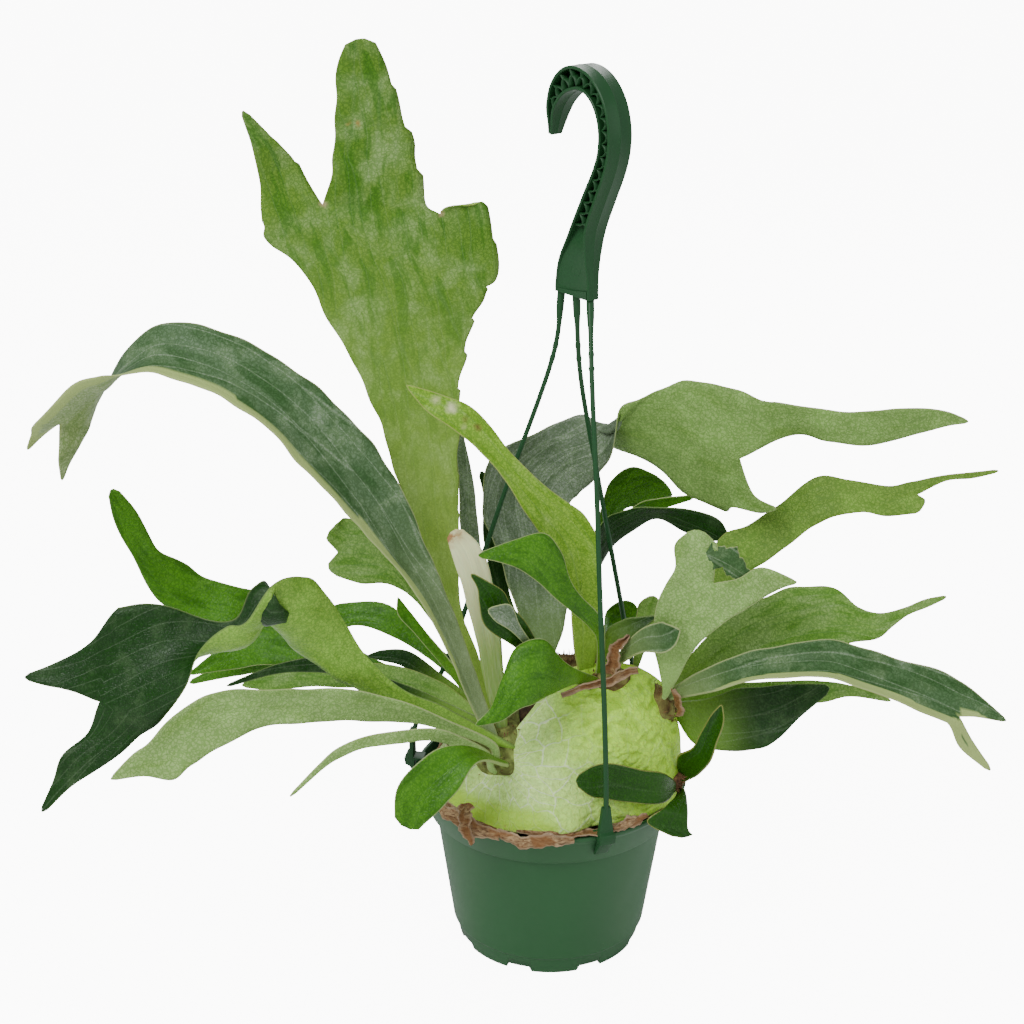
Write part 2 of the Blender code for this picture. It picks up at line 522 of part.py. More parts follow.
def ribbon(left, right, across, cup, lead=(None, None)):
    """Rows of points between two margins; a positive cup sinks the middle."""
    left, right = np.asarray(left, float), np.asarray(right, float)
    middle = (left + right) / 2
    spans = np.linalg.norm(np.diff(middle, axis=0), axis=1)
    steps = np.maximum(1, np.round(spans / ROW_STEP)).astype(int)
    cup = np.resize(cup, len(left)) if len(cup) == 1 else np.asarray(cup, float)
    depth = along(np.column_stack([cup, cup, cup]), steps)[:, :1]
    left = along(left, steps, lead[0])
    right = along(right, steps, lead[1])
    run = np.gradient((left + right) / 2, axis=0)
    normal = unit(np.cross(right - left, run))
    width = np.linalg.norm(right - left, axis=1, keepdims=True)
    rows = left[:, None] * (1 - across)[:, None] + right[:, None] * across[:, None]
    sag = (4 * across * (1 - across))[None, :, None]
    return rows - (normal * width * depth)[:, None, :] * sag


def frond_sheet(spec):
    """Middle surface of a frond: its blade's grid, then a grid for each lobe."""
    left, right = spec["margins"]
    knots = [left[-1], *np.array(spec.get("notches", ()), float).reshape(-1, 3), right[-1]]
    side = right[-1] - left[-1]
    share = [float(np.clip((k - left[-1]) @ side / (side @ side), 0, 1)) for k in knots]
    share[0], share[-1] = 0.0, 1.0
    lobes = spec.get("lobes", ())
    wide = np.linalg.norm(right - left, axis=1).max() > WIDE_BLADE
    columns = 4 if wide and not lobes else 2
    parts = len(knots) - 1
    across = np.concatenate([np.linspace(share[i], share[i + 1], columns + 1)[:-1]
                             for i in range(parts)] + [[1.0]])
    rows = ribbon(left, right, across, spec.get("cup", (0.0,)))
    if lobes:
        ends = [knots[i] - rows[-1, columns * i] for i in range(parts + 1)]
        pull = np.stack([np.interp(across, share, [e[k] for e in ends]) for k in range(3)], -1)
        ease = np.linspace(0, 1, min(4, len(rows))) ** 2
        rows[-len(ease):] += pull[None] * ease[:, None, None]
    count = rows.shape[0] * rows.shape[1]
    index = np.arange(count).reshape(rows.shape[:2])
    points = [rows.reshape(-1, 3)]
    quads = [grid_faces(index)]
    run = np.concatenate([[0], np.cumsum(np.linalg.norm(
        np.diff(rows.mean(axis=1), axis=0), axis=1))])
    runs = [np.repeat(run, rows.shape[1])]
    for i, lobe in enumerate(lobes):
        low, high = margins(lobe, (left[-1] + right[-1]) / 2)
        low, high = np.vstack([knots[i], low]), np.vstack([knots[i + 1], high])
        lead = (left[-2] if i == 0 else None, right[-2] if i == parts - 1 else None)
        local = np.linspace(0, 1, columns + 1)
        tongue = ribbon(low, high, local, (0.0,), lead)
        root = rows[-1, columns * i:columns * (i + 1) + 1]
        fade = np.linspace(1, 0, len(tongue)) ** 2
        tongue = tongue + (root - tongue[0])[None] * fade[:, None, None]
        fresh = tongue[1:]
        numbers = np.arange(count, count + fresh.shape[0] * fresh.shape[1])
        numbers = numbers.reshape(fresh.shape[:2])
        joined = np.vstack([index[-1, columns * i:columns * (i + 1) + 1], numbers])
        quads.append(grid_faces(joined))
        points.append(fresh.reshape(-1, 3))
        further = run[-1] + np.cumsum(np.linalg.norm(
            np.diff(tongue.mean(axis=1), axis=0), axis=1))
        runs.append(np.repeat(further, fresh.shape[1]))
        count += fresh.shape[0] * fresh.shape[1]
    return np.vstack(points), np.vstack(quads), np.concatenate(runs), rows.shape[1]


def stalk_foot(spec):
    """Foot of a stalk: the middle of the first station, its height over the dome."""
    middle = np.array(spec["blade"][0][:3], float)
    outward = middle - np.array([0, 0, DOME_Z])
    direction = unit(outward)
    height = np.linalg.norm(outward) - float(dome_radius(direction))
    return middle, direction, height


def with_root(spec):
    """The frond's margins with one more station, down in the crown's slot."""
    middle, direction, height = stalk_foot(spec)
    depth = min(ROOT_DEPTH, max(height - CROWN_FLOOR, 1.0))
    left, right = margins(spec["blade"])
    start = unit((left[1] + right[1]) / 2 - middle)
    inward = unit(direction + ROOT_LEAN * start) * depth
    feet = [middle + (side[0] - middle) * ROOT_TAPER - inward for side in (left, right)]
    grown = dict(spec)
    grown["margins"] = np.vstack([feet[0], left]), np.vstack([feet[1], right])
    cup = spec.get("cup", (0.0,))
    grown["cup"] = cup if len(cup) == 1 else (cup[0], *cup)
    return grown


def add_frond(name, spec):
    """An antler frond: a thin closed blade on a stouter stalk."""
    points, quads, run, _ = frond_sheet(with_root(spec))
    slim = np.exp(-(run / STALK_LENGTH) ** 2)
    thickness = BLADE_THICKNESS + (STALK_THICKNESS - BLADE_THICKNESS) * slim
    solid, faces = shell(points, quads, thickness)
    return add_object(name, solid, faces, "frond_" + spec["tone"])


def add_slot_cutter(name, spec, collection):
    """The foot of a stalk with the clearance round it, to cut its slot."""
    points, quads, run, width = frond_sheet(with_root(spec))
    rows = points[:int(np.sum(run < SLOT_RUN) // width) * width].reshape(-1, width, 3)
    middle = rows.mean(axis=1, keepdims=True)
    half = np.linalg.norm(rows[:, :1] - middle, axis=2, keepdims=True)
    rows = middle + (rows - middle) * (1 + SLOT_ROOM / np.maximum(half, 1.0))
    rows[0] += unit(rows[0] - rows[1]) * SLOT_ROOM
    index = np.arange(rows.shape[0] * width).reshape(-1, width)
    solid, faces = shell(rows.reshape(-1, 3), grid_faces(index),
                         np.full(index.size, STALK_THICKNESS + 2 * SLOT_ROOM))
    cutter = as_cutter(add_object(name, solid, faces, "rhizome", smooth=False))
    bpy.context.scene.collection.objects.unlink(cutter)
    collection.objects.link(cutter)


def crown_patch(spec, feet, grow=0.0, base=CROWN_BASE):
    """Rhizome patch on the dome, higher round each frond's foot.

    The height at a point is the mean of the feet's heights, weighted by a bell curve
    of the distance to each, and falls to the edge's thickness at the rim.
    """
    middle = heading(*spec["middle"])
    side = unit(np.cross([0, 0, 1.0], middle))
    up = np.cross(middle, side)
    turn = math.radians(spec["turn"])
    first = side * math.cos(turn) + up * math.sin(turn)
    second = up * math.cos(turn) - side * math.sin(turn)
    rings, spokes = CROWN_RINGS, CROWN_SPOKES
    share = np.linspace(0, 1, rings + 1)[1:, None]
    angle = np.arange(spokes) * 2 * math.pi / spokes
    reach = (np.array(spec["reach"]) + grow) / float(dome_radius(middle))
    wobble = 1 + 0.08 * np.sin(3 * angle + 1.0) + 0.05 * np.sin(7 * angle)
    spread = (share * (np.cos(angle) * reach[0] * wobble))[..., None] * first
    spread = spread + (share * (np.sin(angle) * reach[1] * wobble))[..., None] * second
    direction = unit(middle + spread).reshape(-1, 3)
    direction = np.vstack([middle, direction])
    ground = on_dome(direction, np.zeros(len(direction)))
    weight = np.full(len(direction), CROWN_CALM)
    total = weight * CROWN_EDGE
    for foot, _, height in feet:
        aside = np.sum((ground - foot) ** 2, axis=1) - height ** 2
        near = np.exp(-np.maximum(aside, 0) / CROWN_SLOPE ** 2)
        weight += near
        total += near * (abs(height) + CROWN_LIP)
    height = total / weight + grow
    rim = np.concatenate([[0], np.repeat(share[:, 0], spokes)])
    height = CROWN_EDGE + grow + (height - CROWN_EDGE - grow) * (1 - rim ** 6)
    top = on_dome(direction, height)
    bottom = on_dome(direction, np.full(len(direction), base))
    count = len(direction)
    ring = 1 + np.arange(rings * spokes).reshape(rings, spokes)
    ring = np.column_stack([ring, ring[:, :1]])
    quads = grid_faces(ring)[:, ::-1]
    cap = np.stack([np.zeros(spokes, int), ring[0, :-1], ring[0, 1:]], axis=-1)
    upper = np.vstack([cap, quads[:, [0, 1, 2]], quads[:, [0, 2, 3]]])
    rim_a, rim_b = ring[-1, :-1], ring[-1, 1:]
    walls = np.vstack([np.stack([rim_b, rim_a, rim_a + count], -1),
                       np.stack([rim_b, rim_a + count, rim_b + count], -1)])
    return np.vstack([top, bottom]), np.vstack([upper, upper[:, ::-1] + count, walls])


def add_crown(name, spec):
    """A crown with a slot for every stalk, and its own cutter for the shields."""
    feet = [stalk_foot(frond) for frond in FRONDS.values() if frond["crown"] == name]
    body = add_object(name, *crown_patch(spec, feet), "rhizome")
    slots = bpy.data.collections.new("slots_" + name)
    bpy.context.scene.collection.children.link(slots)
    for frond_name, frond in FRONDS.items():
        if frond["crown"] == name:
            add_slot_cutter("slot_" + frond_name, frond, slots)
    cut_away(body, slots)
    room = add_object("room_" + name, *crown_patch(spec, feet, CROWN_ROOM, -CROWN_FLOOR),
                      "rhizome", smooth=False)
    return as_cutter(room)


def add_shield(name, spec, rooms):
    """A shield frond: a thin sheet that follows the dome and flares over the rim."""
    low, high = np.array(spec["lower"], float), np.array(spec["upper"], float)
    columns = int((low[-1, 0] - low[0, 0]) / SHIELD_STEP) + 1
    azimuth = np.linspace(low[0, 0], low[-1, 0], columns)
    share = np.linspace(0, 1, spec["rows"])[:, None]
    elevation = np.interp(azimuth, *low.T) * (1 - share) + np.interp(azimuth, *high.T) * share
    direction = heading(np.broadcast_to(azimuth, elevation.shape), elevation)
    fold = FOLD_DEPTH * np.sin(np.radians(azimuth) * FOLDS)
    clip_room = np.ones(columns)
    for clip in (FRONT_CLIP, BACK_CLIP, LEFT_CLIP, LEFT_CLIP - 360):
        clip_room *= 1 - np.exp(-((azimuth - clip) / CLIP_SHADOW) ** 2)
    flare = np.interp(azimuth, *np.array(spec["flare"], float).T) * clip_room + fold
    above = np.maximum(elevation - FLARE_ELEVATION, 0)
    flare = flare * np.exp(-(above / FLARE_FADE) ** 2)
    sheet = on_dome(direction, np.full(elevation.shape, spec["lift"]))
    outward = unit(direction * (1, 1, 0))
    points = (sheet + outward * flare[..., None]).reshape(-1, 3)
    index = np.arange(elevation.size).reshape(elevation.shape)
    solid, faces = shell(points, grid_faces(index), np.full(elevation.size, SHIELD_THICKNESS))
    body = add_object(name, solid, faces, spec["material"])
    for room in rooms:
        cut_away(body, room)


def turned(name, profile, sides, finish):
    """A turned body from a profile of (radius, height), both ends on the axis."""
    profile = np.array(profile, float)
    angle = np.arange(sides) * 2 * math.pi / sides
    inner = profile[1:-1]
    rings = np.stack([inner[:, :1] * np.sin(angle), -inner[:, :1] * np.cos(angle),
                      np.repeat(inner[:, 1:], sides, axis=1)], axis=-1)
    points = np.vstack([rings.reshape(-1, 3), [[0, 0, profile[0, 1]]], [[0, 0, profile[-1, 1]]]])
    index = np.arange(len(inner) * sides).reshape(-1, sides)
    index = np.column_stack([index, index[:, 0]])
    quads = grid_faces(index)
    first, last = len(inner) * sides, len(inner) * sides + 1
    faces = [tuple(q) for q in quads]
    faces += [(first, int(b), int(a)) for a, b in zip(index[0, :-1], index[0, 1:])]
    faces += [(last, int(a), int(b)) for a, b in zip(index[-1, :-1], index[-1, 1:])]
    return add_object(name, points, faces, finish)


def collar_radius(z):
    """Outer radius of the flared collar at a height."""
    share = (z - COLLAR_FOOT_Z) / (POT_HEIGHT - COLLAR_FOOT_Z)
    return COLLAR_FOOT_RADIUS + (RIM_RADIUS - COLLAR_FOOT_RADIUS) * share


def add_pot():
    """The pot: foot ring with drain slots, tapered wall, flared collar."""
    inside_collar = COLLAR_FOOT_Z + 2.0
    profile = ((0, 0), (PAD_RADIUS, 0), (PAD_RADIUS + 0.6, FLOOR_Z - WALL),
               (FOOT_INNER_RADIUS, FLOOR_Z - WALL),
               (FOOT_INNER_RADIUS, 0), (FOOT_RADIUS, 0),
               (FOOT_RADIUS + 2.6, FOOT_TOP_Z - 1.0), (WALL_FOOT_RADIUS, FOOT_TOP_Z),
               (WALL_TOP_RADIUS, COLLAR_FOOT_Z), (COLLAR_FOOT_RADIUS, COLLAR_FOOT_Z + 0.6),
               (collar_radius(BEAD_FOOT_Z), BEAD_FOOT_Z), (RIM_RADIUS, POT_HEIGHT - BEAD_HEIGHT),
               (RIM_RADIUS, POT_HEIGHT - 0.5), (RIM_RADIUS - 0.6, POT_HEIGHT),
               (RIM_RADIUS - BEAD_WIDTH, POT_HEIGHT),
               (collar_radius(BEAD_FOOT_Z) - WALL, BEAD_FOOT_Z),
               (collar_radius(inside_collar) - WALL - 0.4, inside_collar),
               (WALL_TOP_RADIUS - WALL, COLLAR_FOOT_Z - 1.5),
               (WALL_FOOT_RADIUS - WALL, FOOT_TOP_Z), (FOOT_RADIUS - WALL, FLOOR_Z),
               (0, FLOOR_Z))
    pot = turned("pot", profile, POT_SIDES, "pot_plastic")
    points, faces = [], []
    for k in range(NOTCHES):
        out = heading(NOTCH_FIRST + 360 / NOTCHES * k, 0)
        side = np.array([-out[1], out[0], 0])
        corners = [out * r + side * s * w / 2 + np.array([0, 0, z])
                   for r in (FOOT_INNER_RADIUS - CUT_PAST, FOOT_RADIUS + 2 * CUT_PAST)
                   for z, w in ((-1.0, NOTCH_WIDTH[0]), (NOTCH_HEIGHT, NOTCH_WIDTH[1]))
                   for s in (-1, 1)]
        start = len(points)
        points += corners
        box = ((0, 1, 3, 2), (4, 6, 7, 5), (0, 4, 5, 1), (2, 3, 7, 6), (0, 2, 6, 4), (1, 5, 7, 3))
        faces += [tuple(start + i for i in face[::-1]) for face in box]
    for k in range(DRAIN_HOLES):
        out = heading(NOTCH_FIRST + 30 + 360 / DRAIN_HOLES * k, 0) * DRAIN_RING
        start = len(points)
        turn = np.arange(DRAIN_SIDES) * 2 * math.pi / DRAIN_SIDES
        ring = np.column_stack([np.cos(turn), np.sin(turn)]) * DRAIN_RADIUS + out[:2]
        points += [np.array([*p, z]) for z in DRAIN_SPAN for p in ring]
        faces.append(tuple(start + i for i in range(DRAIN_SIDES - 1, -1, -1)))
        top = start + DRAIN_SIDES
        faces.append(tuple(top + i for i in range(DRAIN_SIDES)))
        faces += [(start + i, start + (i + 1) % DRAIN_SIDES, top + (i + 1) % DRAIN_SIDES, top + i)
                  for i in range(DRAIN_SIDES)]
    cutter = as_cutter(add_object("drain_cutter", points, faces, "pot_plastic", smooth=False))
    cut_away(pot, cutter)


def add_root_ball():
    """The root ball: a plug inside the pot under the dome."""
    plug = ((0, FLOOR_Z + GAP), (FOOT_RADIUS - WALL - 1.2, FLOOR_Z + GAP),
            (WALL_FOOT_RADIUS - WALL - 1.0, FOOT_TOP_Z + 1.0),
            (WALL_TOP_RADIUS - WALL - 1.4, COLLAR_FOOT_Z - 3.0), (68.0, 97.0))
    sides = BALL_SIDES
    azimuth = np.arange(sides) * 360 / sides
    elevation = np.array([2, 12, 22, 32, 42, 52, 62, 71, 80])[:, None]
    dome = on_dome(heading(np.broadcast_to(azimuth, (9, sides)),
                           np.broadcast_to(elevation, (9, sides))), np.zeros((9, sides)))
    low = np.array(plug[1:], float)
    a = np.radians(azimuth)
    rings = np.stack([low[:, :1] * np.sin(a), -low[:, :1] * np.cos(a),
                      np.repeat(low[:, 1:], sides, axis=1)], axis=-1)
    rings = np.concatenate([rings, dome])
    top = on_dome(heading(0.0, 90.0)[None], np.zeros(1))
    points = np.vstack([rings.reshape(-1, 3), [[0, 0, plug[0][1]]], top])
    index = np.arange(len(rings) * sides).reshape(-1, sides)
    index = np.column_stack([index, index[:, 0]])
    first, last = len(rings) * sides, len(rings) * sides + 1
    faces = [tuple(q) for q in grid_faces(index)]
    faces += [(first, int(b), int(c)) for c, b in zip(index[0, :-1], index[0, 1:])]
    faces += [(last, int(b), int(c)) for b, c in zip(index[-1, :-1], index[-1, 1:])]
    add_object("root_ball", points, faces, "potting_mix")


def hook_line():
    """Stations of the hook in its plane: place, height, width across, depth through."""
    bow, count = HOOK_BOW, 15
    share = np.linspace(0, 1, count)
    angle = np.radians(bow["start"] + (bow["end"] - bow["start"]) * share)
    knots = np.linspace(0, 1, len(bow["widths"]))
    arc = np.column_stack([bow["middle"][0] + bow["reach"][0] * np.cos(angle),
                           bow["middle"][1] + bow["reach"][1] * np.sin(angle),
                           np.interp(share, knots, bow["widths"]),
                           np.interp(share, knots, bow["depths"])])
    return np.vstack([np.array(HOOK_FOOT, float), arc, np.array(HOOK_TIP, float)])


def add_hook():
    """The hook: two flanges and a web along its line, closed over its foot."""
    line = hook_line()
    run = unit(np.gradient(line[:, :2], axis=0))
    run[:2] = (0, 1)
    turn = math.radians(HOOK_TURN)
    plane = np.array([math.cos(turn), -math.sin(turn), 0])
    through = np.array([-math.sin(turn), -math.cos(turn), 0])
    count = len(line)
    pocket = np.full(count, 1.0)
    pocket[:2], pocket[2:4], pocket[-1] = 0.1, 0.3, 0.2
    rows = []
    for (a, z, width, depth), (step, rise), open_share in zip(line, run, pocket):
        half, deep = width / 2, depth / 2
        lip = max(half - HOOK_WALL, 0.4)
        web = deep - (deep - HOOK_WEB / 2) * open_share
        section = ((-half, -deep), (-lip, -deep), (-lip, -web), (lip, -web), (lip, -deep),
                   (half, -deep), (half, deep), (lip, deep), (lip, web), (-lip, web),
                   (-lip, deep), (-half, deep))
        rows.append([plane * (a + rise * s) + np.array([0, 0, z - step * s]) + through * d
                     for s, d in section])
    sides = len(section)
    points = np.array(rows).reshape(-1, 3) + np.array([*HOOK_AXIS, 0])
    index = np.arange(count * sides).reshape(count, sides)
    index = np.column_stack([index, index[:, 0]])
    faces = [tuple(q) for q in grid_faces(index)]
    cap = ((0, 1, 2, 9, 10, 11), (2, 3, 8, 9), (3, 4, 5, 6, 7, 8))
    for row, order in ((index[0, :sides], -1), (index[-1, :sides], 1)):
        faces += [tuple(row[list(f)][::order]) for f in cap]
    add_object("hanger_hook", points, [face[::-1] for face in faces], "hanger_plastic")


def tube(path, radius, sides=8):
    """Closed tube along a path."""
    path = np.asarray(path, float)
    run = unit(np.gradient(path, axis=0))
    run[0] = (0, 0, -1)
    side = unit(np.cross(run, [0.3, 0.9, 0.1]))
    other = np.cross(run, side)
    angle = np.arange(sides) * 2 * math.pi / sides
    ring = (np.cos(angle)[None, :, None] * side[:, None] + np.sin(angle)[None, :, None]
            * other[:, None]) * np.asarray(radius)[:, None, None] + path[:, None]
    index = np.arange(ring.shape[0] * sides).reshape(-1, sides)
    index = np.column_stack([index, index[:, 0]])
    faces = [tuple(q) for q in grid_faces(index)]
    faces += [tuple(index[0, :-1][::-1]), tuple(index[-1, :-1])]
    return ring.reshape(-1, 3), faces


def add_strand(name, azimuth, route):
    """A strand of the hanger, thick at its root, with the clip that grips the rim."""
    out = heading(azimuth, 0)
    end = out * STRAND_END_RADIUS + np.array([0, 0, STRAND_END_Z - 4.0])
    path = along([*route, end], [2] * len(route))
    radius = STRAND_RADIUS + ROOT_SWELL * np.exp(-np.arange(len(path)) * ROOT_FADE)
    points, faces = tube(path, radius)
    strand = add_object(name, points, faces, "hanger_plastic")
    rim_top = POT_HEIGHT + CLIP_ROOM
    outline = (*CLIP_FRONT, (collar_radius(CLIP_FOOT_Z) + 2.8, CLIP_FOOT_Z),
               (collar_radius(CLIP_FOOT_Z) + 0.5, CLIP_FOOT_Z), (RIM_RADIUS + 0.8, POT_HEIGHT - 3.4),
               (RIM_RADIUS + 0.8, rim_top), (RIM_RADIUS - 2.9, rim_top),
               (RIM_RADIUS - 4.2, POT_HEIGHT - 3.0), (RIM_RADIUS - 5.4, POT_HEIGHT - 3.0),
               (RIM_RADIUS - 4.6, rim_top + 1.6), (84.0, rim_top + 1.8))
    side = np.array([-out[1], out[0], 0])
    count = len(outline)
    half = CLIP_WIDTH / 2
    points = [out * r + np.array([0, 0, z]) + side * s for s in (-half, half) for r, z in outline]
    faces = [tuple(range(count)), tuple(range(2 * count - 1, count - 1, -1))]
    faces += [(i, i + count, (i + 1) % count + count, (i + 1) % count) for i in range(count)]
    clip = as_cutter(add_object(name + "_clip", points, faces, "hanger_plastic", smooth=False))
    join = strand.modifiers.new("clip", "BOOLEAN")
    join.operation = "UNION"
    join.solver = "EXACT"
    join.object = clip


def main():
    """Build the whole part."""
    clear_scene()
    add_pot()
    add_root_ball()
    rooms = [add_crown(name, spec) for name, spec in CROWNS.items()]
    for name, spec in SHIELDS.items():
        add_shield(name, spec, rooms)
    for name, spec in FRONDS.items():
        add_frond(name, spec)
    add_hook()
    for name, (azimuth, route) in STRANDS.items():
        add_strand(name, azimuth, route)


main()
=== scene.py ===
"""Looks of the staghorn fern in its hanging pot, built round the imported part.

Lengths are in millimetres until MM turns them into metres; +Z is up, the origin is the
middle of the pot's foot and -Y is the front.  An azimuth is counted from the front
towards +X.  Every node of the part is replaced by a finer piece on the same values.
"""
import math

import bpy
import numpy as np
from mathutils import Matrix, Vector


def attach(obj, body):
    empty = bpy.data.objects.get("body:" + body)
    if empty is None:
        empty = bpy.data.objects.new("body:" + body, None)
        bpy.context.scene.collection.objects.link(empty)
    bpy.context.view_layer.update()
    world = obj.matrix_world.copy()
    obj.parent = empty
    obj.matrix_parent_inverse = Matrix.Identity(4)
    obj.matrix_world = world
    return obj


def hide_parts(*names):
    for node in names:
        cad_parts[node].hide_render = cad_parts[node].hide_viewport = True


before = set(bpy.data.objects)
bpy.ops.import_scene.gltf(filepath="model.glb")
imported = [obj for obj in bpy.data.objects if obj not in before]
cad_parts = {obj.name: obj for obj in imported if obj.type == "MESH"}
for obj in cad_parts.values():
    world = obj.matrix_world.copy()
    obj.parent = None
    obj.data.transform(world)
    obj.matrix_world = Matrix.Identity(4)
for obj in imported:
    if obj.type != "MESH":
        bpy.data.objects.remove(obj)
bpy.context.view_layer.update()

MM = 0.001

# Pot
RIM_RADIUS, POT_HEIGHT = 82.5, 108.7
COLLAR_FOOT_Z, COLLAR_FOOT_RADIUS = 86.8, 73.8
WALL_TOP_RADIUS, WALL_FOOT_RADIUS = 69.8, 59.0
FOOT_TOP_Z, FOOT_RADIUS, FOOT_INNER_RADIUS, PAD_RADIUS = 12.2, 55.1, 51.6, 12.0
WALL, FLOOR_Z = 1.8, 5.0
POT_SIDES = 240
NOTCHES, NOTCH_FIRST, NOTCH_WIDTH, NOTCH_HEIGHT = 8, -18.0, (17.0, 13.0), 4.0
DRAIN_HOLES, DRAIN_RADIUS, DRAIN_RING = 6, 4.0, 36.0
DRAIN_SIDES, DRAIN_SPAN = 24, (0.5, 9.0)   # the span is in height
BEAD_FOOT_Z = 104.0           # where the rim's bead starts
SOFT_CORNER = 0.9             # rounding of the pot's corners

# Root ball: a plug in the pot under a dome about this centre
DOME_Z, DOME_RADIUS = 104.0, 71.0
# lumps of the dome: azimuth, elevation, gain, sharpness
DOME_LUMPS = ((88, 36, 11, 5), (60, 66, 2, 6), (-112, 58, -12, 4), (-50, 46, -7, 5))

BALL_SIDES, BALL_ROWS = 200, 90

# Crowns, as in the part
CROWN_BASE, CROWN_EDGE, CROWN_SLOPE = 0.7, 1.6, 9.0
CROWN_LIP, CROWN_CALM, CROWN_FLOOR = 0.5, 0.12, 3.0
ROOT_DEPTH, ROOT_LEAN, ROOT_TAPER = 7.0, 0.9, 0.85
CROWN_RINGS, CROWN_SPOKES = 40, 120
SCALE_LENGTHS, SCALE_HALF_WIDTHS = (1.8, 4.6), (0.25, 0.5)
SCALE_SCATTER = 0.9           # how far a scale leans away from the crown's normal

# Fronds
STALK_THICKNESS, BLADE_THICKNESS, STALK_LENGTH = 3.0, 0.95, 45.0
ROW_STEP = 17.0               # rows of the part's blades, each refined this many times
FINE_ROWS, FINE_COLUMNS = 7, 16
MARGIN_WANDER = 0.022         # how far a margin strays, as a share of half the width
TOOTH_PITCH = 23.0            # spacing of the teeth on a toothed margin
PLEAT_HEIGHT, RUFFLE_HEIGHT = 0.16, 0.5    # relief along a blade and at its margins

# Hanger
FRONT_CLIP, BACK_CLIP, LEFT_CLIP = 22.0, 142.0, 262.0
HOOK_TURN, HOOK_AXIS = 50.0, (12.0, 4.0)
STRAND_RADIUS = 1.5

